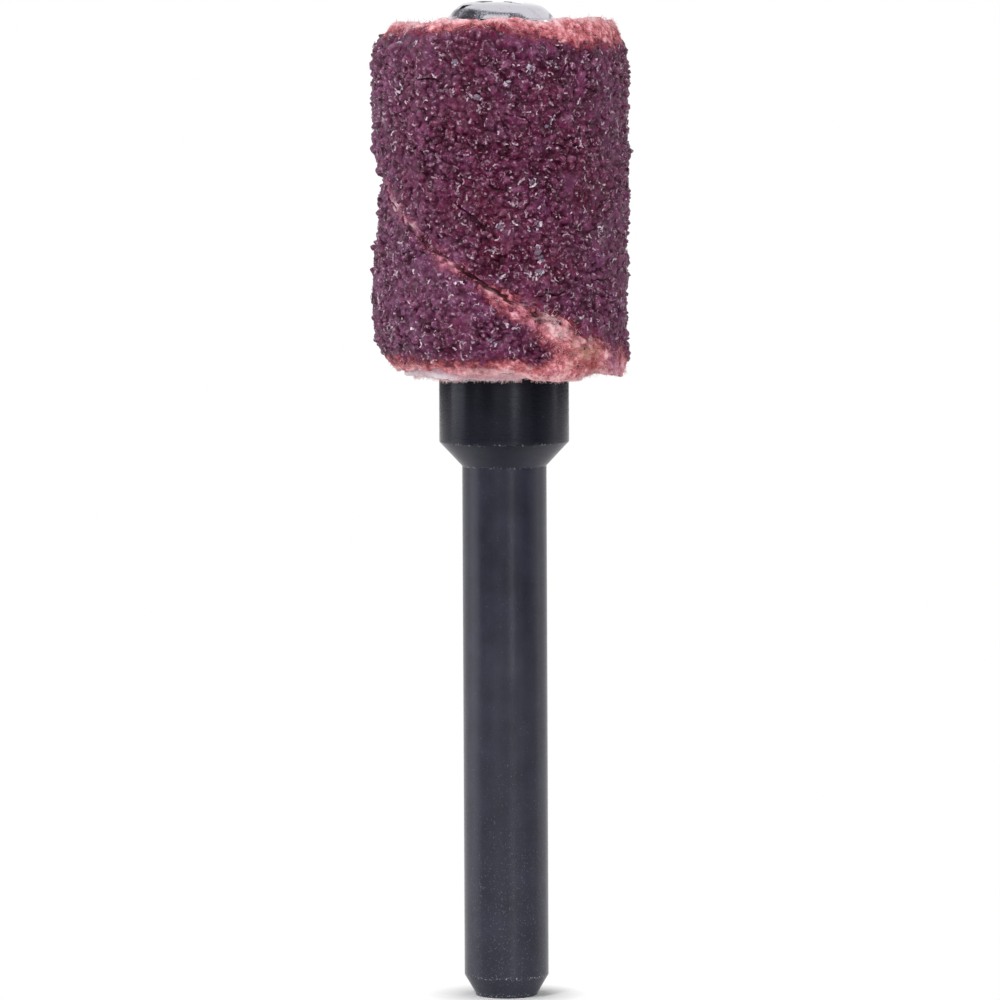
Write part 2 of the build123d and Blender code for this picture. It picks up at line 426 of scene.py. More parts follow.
class Winding:
    """Where a flat strip lies once it is wound into the band. Lengths are in millimetres here."""

    # Radius at which the strip keeps its length, and how far from a rim the rim's shift is felt
    MEAN_RADIUS, RIM_REACH = 4.75, 2.2

    # Depth, height and half the height of each hollow down the left side, and the bulge below them
    WAISTS = ((0.3, 30.9, 0.75), (0.19, 29.3, 1.2))
    HIPS = (0.04, 26.6, 1.5)

    # How far the lower rim stands out at the right, at which angle, how wide and how far up
    FLARE, FLARE_ANGLE, FLARE_WIDTH, FLARE_HEIGHT = 0.2, 72, 24, 1.3

    # Going round, as (degrees, value): the shift of each rim, the width of bare cloth along the rims and the
    # seam, and how far the slit stands open
    LOW_EDGE = [(-180, 0.05), (-110, 0.1), (-76, 0.12), (-62, 0.2), (-50, 0.28), (-42, 0.27), (-32, 0.2),
                (-22, 0.16), (4, 0.11), (12, 0.0), (18, -0.12), (26, -0.15), (33, -0.13), (40, -0.06),
                (47, 0.02), (54, 0.05), (60, -0.06), (75, -0.08), (110, 0.06)]
    HIGH_EDGE = [(-180, -0.12), (-150, -0.28), (-125, -0.3), (-100, -0.12), (-70, -0.06), (-55, -0.02),
                 (-44, 0.04), (-36, 0.08), (-31, 0.1), (-24, 0.05), (-16, 0.07), (-6, 0.14), (4, 0.12),
                 (14, 0.05), (20, 0.03), (28, 0.04), (36, 0.1), (50, 0.14), (62, 0.08), (80, -0.06),
                 (110, -0.1), (130, -0.12), (160, -0.12)]
    BARE_TOP = [(-180, 0.6), (-100, 0.5), (-57, 0.42), (-44, 0.46), (-31, 0.48), (-22, 0.36), (-12, 0.34),
                (-1, 0.4), (12, 0.48), (27, 0.74), (43, 1.2), (60, 1.2), (75, 0.8), (120, 0.6)]
    BARE_LOW = [(-180, 0.55), (-100, 0.5), (-60, 0.5), (-37, 0.46), (-10, 0.52), (12, 0.6), (60, 0.75),
                (75, 0.75), (90, 0.5), (120, 0.5)]
    BARE_ABOVE = [(-180, 0.3), (-110, 0.28), (-65, 0.38), (-52, 0.38), (-44, 0.32), (-34, 0.26), (-28, 0.12),
                  (-8, 0.06), (0, 0.09), (6, 0.2), (14, 0.34), (20, 0.55), (27, 0.72), (34, 0.55), (62, 0.5),
                  (120, 0.3)]
    BARE_BELOW = [(-180, 0.32), (-110, 0.3), (-65, 0.02), (-44, 0.03), (-38, 0.36), (-30, 0.46), (-20, 0.26),
                  (-17, 0.06), (-12, 0.3), (-5, 0.58), (0, 0.58), (8, 0.75), (20, 0.95), (30, 1.2),
                  (62, 1.0), (120, 0.4)]
    OPEN = [(-180, 0.7), (-90, 0.6), (-60, 0.45), (-44, 0.6), (-30, 0.7), (-5, 0.75), (8, 0.6), (14, 0.3),
            (18, -0.3), (26, -0.3), (62, -0.3), (84, -0.3), (100, 0.6)]

    # Blots as (degrees, height, half the width, half the height, strength)
    PALE = [(20, 26.05, 3.2, 0.28, 0.9), (24, 25.62, 3.6, 0.24, 0.8), (28.5, 25.28, 4, 0.16, 0.6),
            (-33, 28.6, 2.4, 0.13, 0.9), (-34.4, 27.95, 1.1, 0.09, 1.0), (-61, 29.95, 4, 0.26, 0.8),
            (-50, 29.22, 5, 0.18, 0.8), (44, 25.05, 8, 0.12, 0.5), (-53, 36.7, 7, 0.16, 0.7),
            (-31, 36.85, 5, 0.2, 0.8), (-8, 23.72, 14, 0.1, 0.6), (22, 23.52, 16, 0.09, 0.6)]
    RUST = [(47, 24.06, 4.0, 0.34, 1.0), (41, 24.32, 3.4, 0.22, 0.8), (12, 24.06, 5, 0.1, 0.6),
            (32, 24.55, 3.4, 0.14, 0.6), (-50, 24.18, 14, 0.11, 0.6), (-30, 24.12, 6, 0.16, 0.9),
            (-9, 24.05, 8, 0.11, 0.7), (-45, 36.35, 6, 0.1, 0.6), (-20, 36.5, 9, 0.07, 0.6)]
    OLIVE = [(41.5, 24.6, 4.6, 0.26, 0.9), (36, 24.9, 3.5, 0.18, 0.5), (49, 24.55, 3.5, 0.22, 0.7),
             (33, 24.2, 3, 0.16, 0.4)]
    MAUVE = [(63, 24.15, 6, 0.6, 0.9), (68, 23.8, 6, 0.4, 0.8), (11, 25.5, 6, 0.42, 0.75),
             (6, 26.1, 6, 0.3, 0.5), (24, 23.95, 4, 0.12, 0.3), (-31, 27.75, 6, 0.3, 0.8)]
    TINTS = {"pale": PALE, "rust": RUST, "olive": OLIVE}
    HOLES = [(15.2, 25.97, 2.2, 0.16, 1.0), (17.3, 25.74, 1.8, 0.15, 1.0), (-27.5, 28.02, 1.6, 0.05, 0.7)]

    # Going round: how far resin has stained the cloth, and how much the coat is paled by dust and by a
    # painted sheen towards the sides
    STAINED = [(-180, 0.5), (-90, 0.9), (-60, 0.95), (-42, 0.85), (-26, 0.65), (-14, 0.35), (0, 0.15),
               (52, 0.0), (60, 0.5), (80, 0.6), (120, 0.5)]
    DUST_AND_SIDE_SHEEN = [(-180, 0.45), (-90, 0.75), (-62, 0.75), (-45, 0.55), (-28, 0.25), (-8, 0.05), (22, 0.05),
             (45, 0.25), (62, 0.6), (90, 0.65), (130, 0.45)]

    # Cracks in the coat, as lines of (degrees, height)
    CRACKS = [((-23.1, 30.17), (-16, 29.75), (-9.6, 29.21)), ((-9.8, 32.2), (-10.4, 31.8), (-9.5, 31.3)),
              ((-47.0, 28.2), (-48.2, 27.7), (-46.6, 27.2)), ((-2, 33.4), (3, 32.6), (2, 31.9)),
              ((20, 30.5), (23, 29.9), (29, 29.6)), ((150, 31.2), (160, 30.4), (163, 29.5)),
              ((-140, 28.5), (-132, 28.9), (-120, 28.7)), ((95, 27.9), (104, 27.2), (108, 26.4))]

    def __init__(self, sizes):
        self.face = sizes.cloth_face / MM
        self.low = sizes.low_edge / MM
        self.high = sizes.high_edge / MM
        self.offset = sizes.offset / MM
        self.rise = sizes.lead / MM / TURN
        self.seam_front = sizes.seam_front / MM
        self.slit = sizes.slit / MM
        self.turn_in = sizes.turn_in / MM
        self.mean_radius = self.MEAN_RADIUS
        self.round = TURN * self.mean_radius
        self.across = 1 / math.hypot(1, self.mean_radius / self.rise)

    def seam_angle(self, height):
        """Angle of the seam at a height, in radians from the front towards the right."""
        return (self.seam_front - height) / self.rise

    def face_radius(self, angle, up, face):
        """Radius of the face, up being measured from the strip's lower edge."""
        side = np.sin(angle)
        left = 0.5 - 0.5 * side
        tall = self.high - self.low
        top = np.clip(1 - (tall - up) / self.turn_in, 0, 1) ** 1.8 * (0.4 + 0.34 * left)
        low = np.clip(1 - up / self.turn_in, 0, 1) ** 1.8 * (0.1 + 0.56 * left)
        waist = 0
        for depth, level, reach in self.WAISTS:
            waist = waist + depth * left**4 * np.exp(-(((up + self.low - level) / reach) ** 2))
        bulge, level, reach = self.HIPS
        hips = bulge * left * np.exp(-(((up + self.low - level) / reach) ** 2))
        shift = -self.offset * side * (face / self.face) ** 6
        away = (np.degrees(angle) - self.FLARE_ANGLE + 180) % 360 - 180
        flare = self.FLARE * np.exp(-((away / self.FLARE_WIDTH) ** 2))
        flare = flare * np.clip(1 - up / self.FLARE_HEIGHT, 0, 1) ** 1.5
        return face + shift - top - low - waist + hips + flare

    def place(self, angle, height, above, face=None):
        """Points a distance above a face, in millimetres."""
        face = self.face if face is None else face
        up = height - self.low
        radius = self.face_radius(angle, up, face)
        slope = (self.face_radius(angle, up + 0.02, face) - self.face_radius(angle, up - 0.02, face)) / 0.04
        lean = 1 / np.sqrt(1 + slope**2)
        degrees = np.degrees(angle)
        shift = along(degrees, self.LOW_EDGE) * near(up, self.RIM_REACH)
        shift = shift + along(degrees, self.HIGH_EDGE) * eased(height, self.high - self.RIM_REACH, self.high)
        distance = radius + above * lean
        lift = height + shift - above * slope * lean
        return np.stack([distance * np.sin(angle), -distance * np.cos(angle), lift], axis=-1)

    def flat(self, angle, height):
        """Places on the unrolled band, for noise that meets itself all the way round."""
        return self.place(angle, height, 0)

    def from_seam(self, angle, height):
        """Distance above and distance below the seam, square to it."""
        start = ((angle - self.seam_angle(height)) % TURN) * self.mean_radius
        return start * self.across, (self.round - start) * self.across

    def cover(self, angle, height):
        """How far inside the grit coat a place is: over 0 it is coated, under 0 the cloth is bare."""
        degrees = np.degrees(angle)
        above, below = self.from_seam(angle, height)
        spot = self.flat(angle, height)
        wave = layered_noise(spot, 0.7, 3, 4, 0.7)
        patchy = layered_noise(spot, 1.6, 5, 2)
        top = self.high - height - along(degrees, self.BARE_TOP) * (1 + 0.25 * patchy)
        low = height - self.low - along(degrees, self.BARE_LOW) * (1 + 0.25 * patchy)
        seam_above = above - along(degrees, self.BARE_ABOVE) * (0.9 + 0.5 * patchy)
        seam_below = below - along(degrees, self.BARE_BELOW) * (0.9 + 0.5 * patchy)
        frayed = 0.16 * layered_noise(spot, 0.3, 7, 3, 0.7)
        distance = np.minimum(np.minimum(top, low), np.minimum(seam_above + frayed, seam_below + frayed))
        return np.minimum(distance, self.worn_patch(degrees, height)) + 0.14 * wave

    def worn_patch(self, degrees, height):
        """Distance outside the patch at the lower right where the grit has come off."""
        wrapped = (degrees + 180) % 360 - 180
        ceiling = np.interp(wrapped, [20, 26.5, 34.5, 41, 57.7, 66], [25.5, 25.4, 25.24, 25.02, 24.78, 24.5])
        left = np.interp(height, [23.5, 24.19, 24.42, 24.82, 25.4], [9, 15.4, 20.7, 23.7, 24.5])
        right = np.interp(height, [23.5, 24.2, 24.58, 24.8], [72.0, 70.0, 64.0, 60.0])
        per_degree = self.mean_radius * TURN / 360
        inside = np.minimum(ceiling - height, (wrapped - left) * per_degree)
        return -np.minimum(inside, (right - wrapped) * per_degree)

    def blots(self, angle, height, spots):
        """How strongly blots show. Each is (degrees, height, half its width, half its height, strength)."""
        degrees = (np.degrees(angle) + 180) % 360 - 180
        shown = np.zeros(np.shape(angle))
        for place, level, wide, tall, strength in spots:
            away = ((degrees - place) / wide) ** 2 + ((height - level) / tall) ** 2
            shown = np.maximum(shown, strength * np.exp(-away))
        return shown

    def stained(self, angle, height):
        """How far the purple resin has stained the bare cloth."""
        degrees = np.degrees(angle)
        along_seam = along(degrees, self.STAINED) * near(height, self.high - 0.6, self.high - 1.3)
        along_seam = along_seam * eased(height, self.low + 0.3, self.low + 1.2)
        return np.maximum(along_seam, self.blots(angle, height, self.MAUVE))

    def dust_and_side_sheen(self, angle, height):
        """How much the coat is paled, by a painted sheen towards the sides of the front and by dust, and more
        below the seam.
        """
        spot = self.flat(angle, height)
        below = self.from_seam(angle, height)[1]
        dust = along(np.degrees(angle), self.DUST_AND_SIDE_SHEEN) + 0.35 * layered_noise(spot, 2.4, 63, 3)
        return np.clip(dust + 0.25 * (below < 4.5) * near(below, 4.5, 3), 0, 1)

    def bearings(self, angle, height):
        """Unit vectors out of the band, round it to the right and up it."""
        out = unit(self.place(angle, height, 0.2) - self.place(angle, height, 0))
        east = np.stack([np.cos(angle), np.sin(angle), np.zeros(len(angle))], axis=1)
        return out, east, np.cross(east, -out)

    def crack(self, angle, height):
        """1 in the middle of a crack in the coat, falling to 0 beside it."""
        deepest = np.zeros(np.shape(angle))
        wobble = 0.1 * lattice_noise(self.flat(angle, height), 0.35, 71)
        for line in self.CRACKS:
            for start, end in zip(line, line[1:]):
                first = np.array([math.radians(start[0]) * self.mean_radius, start[1]])
                step = np.array([math.radians(end[0]) * self.mean_radius, end[1]]) - first
                flat_angle = (angle + math.pi) % TURN - math.pi
                spot = np.stack([flat_angle * self.mean_radius, height], axis=-1) - first
                part = np.clip(spot @ step / (step @ step), 0, 1)
                away = np.linalg.norm(spot - part[..., None] * step, axis=-1) + wobble
                deepest = np.maximum(deepest, 1 - eased(away, 0.02, 0.09))
        return deepest


class Grains:
    """The relief of the grit coat: faceted grains set in resin, kept on a fine map of the unrolled band."""

    # The side of the map's cells and the height of its lowest row
    CELL, LOW = 0.025, 23.2

    # How many chips are tried, and the shares of proud grains and of clear grains and chips
    CHIPS, PROUD_SHARE, CLEAR_GRAINS, CLEAR_CHIPS = 10500, 0.06, 0.0, 0.001

    # How far a grain or a chip reaches on the map, how steep its sides are, and how many facets it has
    GRAIN_REACH, CHIP_REACH = 0.3, 0.13
    GRAIN_SLOPES, CHIP_SLOPES = (1.3, 4.0), (1.0, 3.0)
    SIDES, TOP_FACETS = 6, 3
    CRACK_DEPTH = 0.15

    def __init__(self, winding, sizes):
        self.winding = winding
        rng = np.random.default_rng(sizes.grain_seed)
        self.columns = round(winding.round / self.CELL)
        self.cell = winding.round / self.columns
        self.rows = round((winding.high + 0.4 - self.LOW) / self.CELL)
        pitch = sizes.grain_pitch / MM
        tall = sizes.grain_height / MM
        across, up = round(winding.round / pitch), round((self.rows * self.CELL) / pitch)
        column, row = np.meshgrid(np.arange(across), np.arange(up))
        jitter = rng.uniform(-0.48, 0.48, (2, up, across))
        self.x = ((column + 0.5 * (row % 2) + jitter[0]) * winding.round / across).ravel() % winding.round
        self.z = (self.LOW + (row + 0.5 + jitter[1]) * pitch).ravel()
        count = len(self.x)
        angle = self.x / winding.mean_radius
        self.inside = winding.cover(angle, self.z) + rng.normal(0, 0.05, count)
        self.radius = pitch * np.clip(rng.lognormal(-0.62, 0.28, count), 0.3, 0.95)
        clumps = layered_noise(winding.flat(angle, self.z), 1.3, 9, 2)
        self.top = tall * np.clip(0.62 + 0.25 * clumps + rng.normal(0, 0.18, count), 0.18, 1.12)
        proud = rng.uniform(size=count) < self.PROUD_SHARE
        self.top += 0.42 * tall * proud
        self.radius *= 1 + 0.25 * proud
        self.tone = np.clip(0.48 + 0.26 * clumps + rng.normal(0, 0.3, count), 0, 1)
        self.clear = rng.uniform(size=count) < self.CLEAR_GRAINS
        edge = self.inside + rng.normal(0, 0.1, count)
        self.kept = (edge > 0) | ((self.inside > -0.35) & (rng.uniform(size=count) < 0.16))
        shrink = 1 - 0.35 * near(self.inside, 0.3, -0.05)
        self.radius *= shrink
        self.top *= shrink
        self.height = np.full((self.rows, self.columns), -1.0)
        self.owner = np.zeros((self.rows, self.columns), dtype=np.int64)
        self.press(rng, np.nonzero(self.kept)[0], self.GRAIN_REACH, self.GRAIN_SLOPES)
        self.fill(sizes)
        self.crumble(rng)
        self.press(rng, np.arange(count, len(self.x)), self.CHIP_REACH, self.CHIP_SLOPES)
        self.settle()

    def crumble(self, rng):
        """Scatters small chips on the coat, each sitting a little over what is under it."""
        x = rng.uniform(0, self.winding.round, self.CHIPS)
        z = rng.uniform(self.winding.low + 0.1, self.winding.high - 0.1, self.CHIPS)
        angle = x / self.winding.mean_radius
        inside = self.winding.cover(angle, z) + rng.normal(0, 0.08, self.CHIPS)
        kept = (inside > 0.0) | (rng.uniform(size=self.CHIPS) < 0.3 * eased(inside, -0.45, 0.0))
        x, z, angle = x[kept], z[kept], angle[kept]
        level = np.maximum(self.read(self.relief, angle, z), 0.0)
        owner = self.read(self.owner, angle, z, nearest=True)
        size = np.clip(rng.lognormal(-2.75, 0.3, len(x)), 0.03, 0.11)
        self.x, self.z = np.append(self.x, x), np.append(self.z, z)
        self.radius = np.append(self.radius, size)
        self.top = np.append(self.top, level + size * rng.uniform(0.0, 0.75, len(x)))
        self.tone = np.append(self.tone, np.clip(0.6 * self.tone[owner] + rng.uniform(0, 0.5, len(x)), 0, 1))
        self.clear = np.append(self.clear, rng.uniform(size=len(x)) < self.CLEAR_CHIPS)
        self.height = self.relief.copy()

    def press(self, rng, chosen, widest, slopes):
        """Presses the chosen grains, forms cut by flat facets, into the map."""
        reach = round(widest / self.CELL)
        steps = np.arange(-reach, reach + 1)
        for chunk in np.array_split(chosen, 12):
            size = len(chunk)
            column = np.round(self.x[chunk] / self.cell).astype(int)
            row = np.round((self.z[chunk] - self.LOW) / self.CELL).astype(int)
            columns = column[:, None, None] + steps[None, None, :]
            rows = row[:, None, None] + steps[None, :, None]
            dx = columns * self.cell - self.x[chunk][:, None, None]
            dz = rows * self.CELL + self.LOW - self.z[chunk][:, None, None]
            level = np.full(np.broadcast_shapes(dx.shape, dz.shape), 9.0)
            start = rng.uniform(0, TURN, size)
            for side in range(self.SIDES):
                turn = (start + side * TURN / self.SIDES + rng.uniform(-0.35, 0.35, size))[:, None, None]
                edge = (self.radius[chunk] * rng.uniform(0.75, 1.25, size))[:, None, None]
                steep = rng.uniform(*slopes, size)[:, None, None]
                foot = self.top[chunk][:, None, None] - 2.2 * self.radius[chunk][:, None, None]
                foot = np.maximum(foot, 0)
                level = np.minimum(level, foot + steep * (edge - dx * np.cos(turn) - dz * np.sin(turn)))
            for _ in range(self.TOP_FACETS):
                turn = rng.uniform(0, TURN, size)[:, None, None]
                lean = rng.uniform(0.05, 0.95, size)[:, None, None]
                rise = (self.top[chunk] * rng.uniform(0.92, 1.08, size))[:, None, None]
                level = np.minimum(level, rise - lean * (dx * np.cos(turn) + dz * np.sin(turn)))
            good = np.broadcast_to((rows >= 0) & (rows < self.rows), level.shape)
            row_index = np.broadcast_to(rows, level.shape)[good]
            column_index = np.broadcast_to(columns % self.columns, level.shape)[good]
            owner = np.broadcast_to(chunk[:, None, None], level.shape)[good]
            order = np.argsort(level[good], kind="stable")
            row_index, column_index, owner = row_index[order], column_index[order], owner[order]
            values = level[good][order]
            better = values > self.height[row_index, column_index]
            self.height[row_index[better], column_index[better]] = values[better]
            self.owner[row_index[better], column_index[better]] = owner[better]

    def fill(self, sizes):
        """Pours the resin between the grains and draws it up their sides."""
        winding = self.winding
        column, row = np.meshgrid(np.arange(self.columns), np.arange(self.rows))
        angle = (column * self.cell / winding.mean_radius).ravel()
        height = (self.LOW + row * self.CELL).ravel()
        shape = (self.rows, self.columns)
        cover = winding.cover(angle, height).reshape(shape)
        spot = winding.flat(angle, height)
        rough = layered_noise(spot, 0.22, 21, 3).reshape(shape)
        swell = layered_noise(spot, 1.1, 23, 2).reshape(shape)
        flooded = eased(layered_noise(spot, 0.75, 29, 2), 0.05, 0.75).reshape(shape)
        resin = sizes.resin / MM * (1 + 0.7 * rough) + 0.13 * flooded
        floor = -0.12 + (resin + 0.12) * eased(cover, -0.1, 0.05)
        relief = self.blurred(np.maximum(self.height, floor), 1)
        drawn = self.blurred(self.blurred(relief, 2), 2)
        relief = np.maximum(relief, drawn - 0.045)
        self.relief = relief + 0.05 * swell * eased(cover, 0, 0.4)
        self.coated = eased(cover, 0, 0.2)
        crevice = layered_noise(spot, 1.25, 25, 3, 0.55)
        broken = eased(lattice_noise(spot, 0.9, 27), -0.25, 0.25)
        crevice = (1 - eased(np.abs(crevice), 0.015, 0.075)) * broken * 0.8
        self.cracked = np.maximum(winding.crack(angle, height), crevice).reshape(shape)

    def settle(self):
        """Opens the cracks, notes how deep each place lies for the painted shade in the hollows, and how
        sharp it is for the painted highlights on the edges.
        """
        relief = 0.75 * self.height + 0.25 * self.blurred(self.height, 1)
        floor = np.minimum(relief, 0.012)
        relief = relief - np.minimum(self.CRACK_DEPTH, relief - floor) * self.cracked * self.coated
        sharp = relief - self.blurred(self.blurred(relief, 1), 1)
        self.ridge = np.clip((sharp - 0.006) / 0.016, 0, 1)
        wide = self.blurred(self.blurred(relief, 4), 4)
        deep = np.clip(0.5 - (relief - wide) / 0.16, 0, 1)
        self.cavity = np.maximum(deep, self.cracked * self.coated)
        self.relief = relief

    @staticmethod
    def blurred(field, reach):
        """Averages a map over a small square, all the way round the band."""
        total = np.zeros_like(field)
        for step in range(-reach, reach + 1):
            total += np.roll(field, step, axis=1)
        padded = np.pad(total, ((reach, reach), (0, 0)), mode="edge")
        result = np.zeros_like(field)
        for step in range(2 * reach + 1):
            result += padded[step:step + field.shape[0]]
        return result / (2 * reach + 1) ** 2

    def read(self, field, angle, height, nearest=False):
        """Values of a map at places on the band."""
        x = (angle * self.winding.mean_radius / self.cell) % self.columns
        z = np.clip((height - self.LOW) / self.CELL, 0, self.rows - 1.001)
        if nearest:
            return field[np.round(z).astype(int), np.round(x).astype(int) % self.columns]
        left, low = np.floor(x).astype(int), np.floor(z).astype(int)
        part_x, part_z = x - left, z - low
        right = (left + 1) % self.columns
        left = left % self.columns
        lower = field[low, left] * (1 - part_x) + field[low, right] * part_x
        upper = field[low + 1, left] * (1 - part_x) + field[low + 1, right] * part_x
        return lower * (1 - part_z) + upper * part_z


SHARED = {}


def winding():
    """The winding, made once."""
    if "winding" not in SHARED:
        SHARED["winding"] = Winding(bpy.context.scene.band_sizes)
    return SHARED["winding"]


def grains():
    """The relief of the coat, made once."""
    if "grains" not in SHARED:
        SHARED["grains"] = Grains(winding(), bpy.context.scene.band_sizes)
    return SHARED["grains"]


# Finishes


class Finish:
    """A material while its nodes are being laid."""

    def __init__(self, name):
        self.material = bpy.data.materials.new(name)
        self.material.use_nodes = True
        self.tree = self.material.node_tree
        self.shader = self.tree.nodes["Principled BSDF"]

    def node(self, kind, inputs=None, **settings):
        """Adds a node. Inputs are linked where they are sockets and set where they are values."""
        made = self.tree.nodes.new(kind)
        for key, value in settings.items():
            setattr(made, key, value)
        for key, value in (inputs or {}).items():
            self.put(made.inputs[key], value)
        return made

    def put(self, socket, value):
        """Links or sets one input."""
        if isinstance(value, bpy.types.NodeSocket):
            self.tree.links.new(value, socket)
        else:
            socket.default_value = value

    def set(self, **values):
        """Sets or links inputs of the shader, with underscores for blanks in their names."""
        for key, value in values.items():
            self.put(self.shader.inputs[key.replace("_", " ")], value)

    def places(self):
        """Object coordinates."""
        return self.node("ShaderNodeTexCoord").outputs["Object"]

    def stretched(self, x, y, z):
        """Object coordinates stretched along the axes."""
        mapping = self.node("ShaderNodeMapping", {"Vector": self.places(), "Scale": (x, y, z)})
        return mapping.outputs["Vector"]

    def noise(self, blob, detail=3.0, roughness=0.55, vector=None):
        """Noise whose blobs are about so many millimetres across."""
        inputs = {"Vector": vector or self.places(), "Scale": 1 / (blob * MM)}
        inputs.update({"Detail": detail, "Roughness": roughness})
        return self.node("ShaderNodeTexNoise", inputs).outputs["Fac"]

    def attribute(self, name, share=None):
        """A number kept on the vertices, times a share if one is given."""
        made = self.node("ShaderNodeAttribute", attribute_type="GEOMETRY", attribute_name=name)
        return made.outputs["Fac"] if share is None else self.times(made.outputs["Fac"], share)

    def math(self, operation, first, second=0.0, clamp=False):
        """One sum."""
        made = self.node("ShaderNodeMath", {0: first, 1: second}, operation=operation, use_clamp=clamp)
        return made.outputs[0]

    def times(self, first, second, clamp=False):
        """The product of two values."""
        return self.math("MULTIPLY", first, second, clamp)

    def plus(self, first, second):
        """The sum of two values."""
        return self.math("ADD", first, second)

    def minus(self, first, second):
        """The first value less the second."""
        return self.math("SUBTRACT", first, second)

    def between(self, value, low, high, start=0.0, end=1.0):
        """Maps a range on another, clamped."""
        inputs = {"Value": value, "From Min": low, "From Max": high, "To Min": start, "To Max": end}
        return self.node("ShaderNodeMapRange", inputs, clamp=True).outputs[0]

    def mix(self, factor, first, second, blend="MIX"):
        """Mixes two colours. The node keeps them in its sockets 6 and 7 and gives the mix in socket 2."""
        mixed = self.node("ShaderNodeMix", {0: factor}, data_type="RGBA", blend_type=blend)
        for index, value in ((6, first), (7, second)):
            is_socket = isinstance(value, bpy.types.NodeSocket)
            self.put(mixed.inputs[index], value if is_socket else (*value[:3], 1))
        return mixed.outputs[2]

    def layers(self, base, *coats):
        """Lays coats, each a strength and a colour, over a colour one after the other."""
        for strength, tint in coats:
            base = self.mix(strength, base, tint)
        return base

    def darkened(self, base, shade):
        """A colour made darker where a shade is under 1."""
        grey = self.node("ShaderNodeCombineColor", {"Red": shade, "Green": shade, "Blue": shade}).outputs[0]
        return self.mix(1.0, base, grey, "MULTIPLY")

    def ramp(self, factor, *stops):
        """A colour ramp through (place, colour) stops."""
        made = self.node("ShaderNodeValToRGB", {"Fac": factor})
        elements = made.color_ramp.elements
        while len(elements) < len(stops):
            elements.new(0.5)
        for element, (place, shade) in zip(elements, stops):
            element.position = place
            element.color = (*shade[:3], 1)
        return made.outputs["Color"]

    def vectors(self, operation, first, second):
        """The node of one sum with vectors."""
        return self.node("ShaderNodeVectorMath", {0: first, 1: second}, operation=operation)

    def facets(self, size):
        """Relief of flat facets so many millimetres across, each leaning its own way."""
        places = self.places()
        cells = self.node("ShaderNodeTexVoronoi", {"Vector": places, "Scale": 1 / (size * MM)}, feature="F1")
        lean = self.vectors("SUBTRACT", cells.outputs["Color"], (0.5, 0.5, 0.5)).outputs[0]
        away = self.vectors("SUBTRACT", places, cells.outputs["Position"]).outputs[0]
        rise = self.vectors("DOT_PRODUCT", away, lean).outputs["Value"]
        return self.math("DIVIDE", rise, size * MM)

    def bump(self, height, distance, strength=1.0, normal=None):
        """Relief too fine to model, its full height in millimetres."""
        inputs = {"Height": height, "Distance": distance * MM, "Strength": strength}
        if normal:
            inputs["Normal"] = normal
        return self.node("ShaderNodeBump", inputs).outputs["Normal"]


def shaded(colour, share):
    """A colour so many times as bright."""
    return [share * value for value in colour]


def seen_directly(tree):
    """Adds nodes that give 1 for rays from the camera, off gloss and through glass, and 0 for the others."""
    path = tree.nodes.new("ShaderNodeLightPath")
    direct = path.outputs["Is Camera Ray"]
    for name in ("Is Glossy Ray", "Is Transmission Ray"):
        larger = tree.nodes.new("ShaderNodeMath")
        larger.operation = "MAXIMUM"
        tree.links.new(direct, larger.inputs[0])
        tree.links.new(path.outputs[name], larger.inputs[1])
        direct = larger.outputs[0]
    return direct


def blackened_steel(colours, sizes):
    """Black oxide over fine turning marks, rubbed pale along the edges, with painted shade on the collar
    under the band.
    """
    look = Finish("blackened_steel")
    height = look.node("ShaderNodeSeparateXYZ", {"Vector": look.places()}).outputs["Z"]
    specks = look.noise(0.07, 2, 0.7)
    worn = None
    edges = [(sizes.neck_low, 0.06, 0.6), (sizes.neck_high, 0.06, 0.59), (sizes.tip_height, 0.09, 0.57),
             (sizes.tip_land, 0.1, 0.58)]
    for edge, reach, least in edges:
        away = look.math("ABSOLUTE", look.minus(height, edge))
        beside = look.between(away, 0.2 * reach * MM, reach * MM, 1, 0)
        spot = look.times(beside, look.between(specks, least, least + 0.1))
        worn = spot if worn is None else look.math("MAXIMUM", worn, spot)
    lower = look.between(height, 4 * MM, 12 * MM, 0.64, 0.72)
    dust = look.between(look.minus(look.noise(0.05, 1, 0.5), lower), 0.0, 0.1, 0, 0.22)
    worn = look.math("MAXIMUM", worn, dust)
    mottled = look.between(look.noise(1.4, 4, 0.6), 0.35, 0.7)
    # Painted shade: above the neck, under the band, the steel gets a darker colour, a darker reflection tint
    # and a smoother finish.
    collar_painted_shade = look.between(height, sizes.neck_high - 0.3 * MM, sizes.neck_high + 0.2 * MM)
    rough = look.between(look.noise(0.5, 4, 0.65, look.stretched(1, 1, 6)), 0.3, 0.7, 0.3, 0.4)
    base = look.mix(mottled, colours.oxide, shaded(colours.oxide, 1.7))
    base = look.mix(collar_painted_shade, base, shaded(colours.oxide, 0.55))
    look.set(
        Base_Color=look.mix(worn, base, colours.worn_steel),
        Metallic=look.times(worn, 0.6),
        Roughness=look.minus(rough, look.times(collar_painted_shade, 0.07)), IOR=1.4,
        Specular_Tint=look.mix(collar_painted_shade, (0.94, 0.95, 1.0), (0.52, 0.53, 0.62)),
        Anisotropic=0.8, Anisotropic_Rotation=0.25,
        Tangent=look.node("ShaderNodeTangent", direction_type="RADIAL", axis="Z").outputs[0],
    )
    rings = look.noise(0.9, 3, 0.7, look.stretched(1, 1, 22))
    marks = look.bump(rings, 0.0035)
    grain = look.noise(0.06, 3, 0.6)
    look.set(Normal=look.bump(grain, 0.0016, 1, marks))
    return look.material


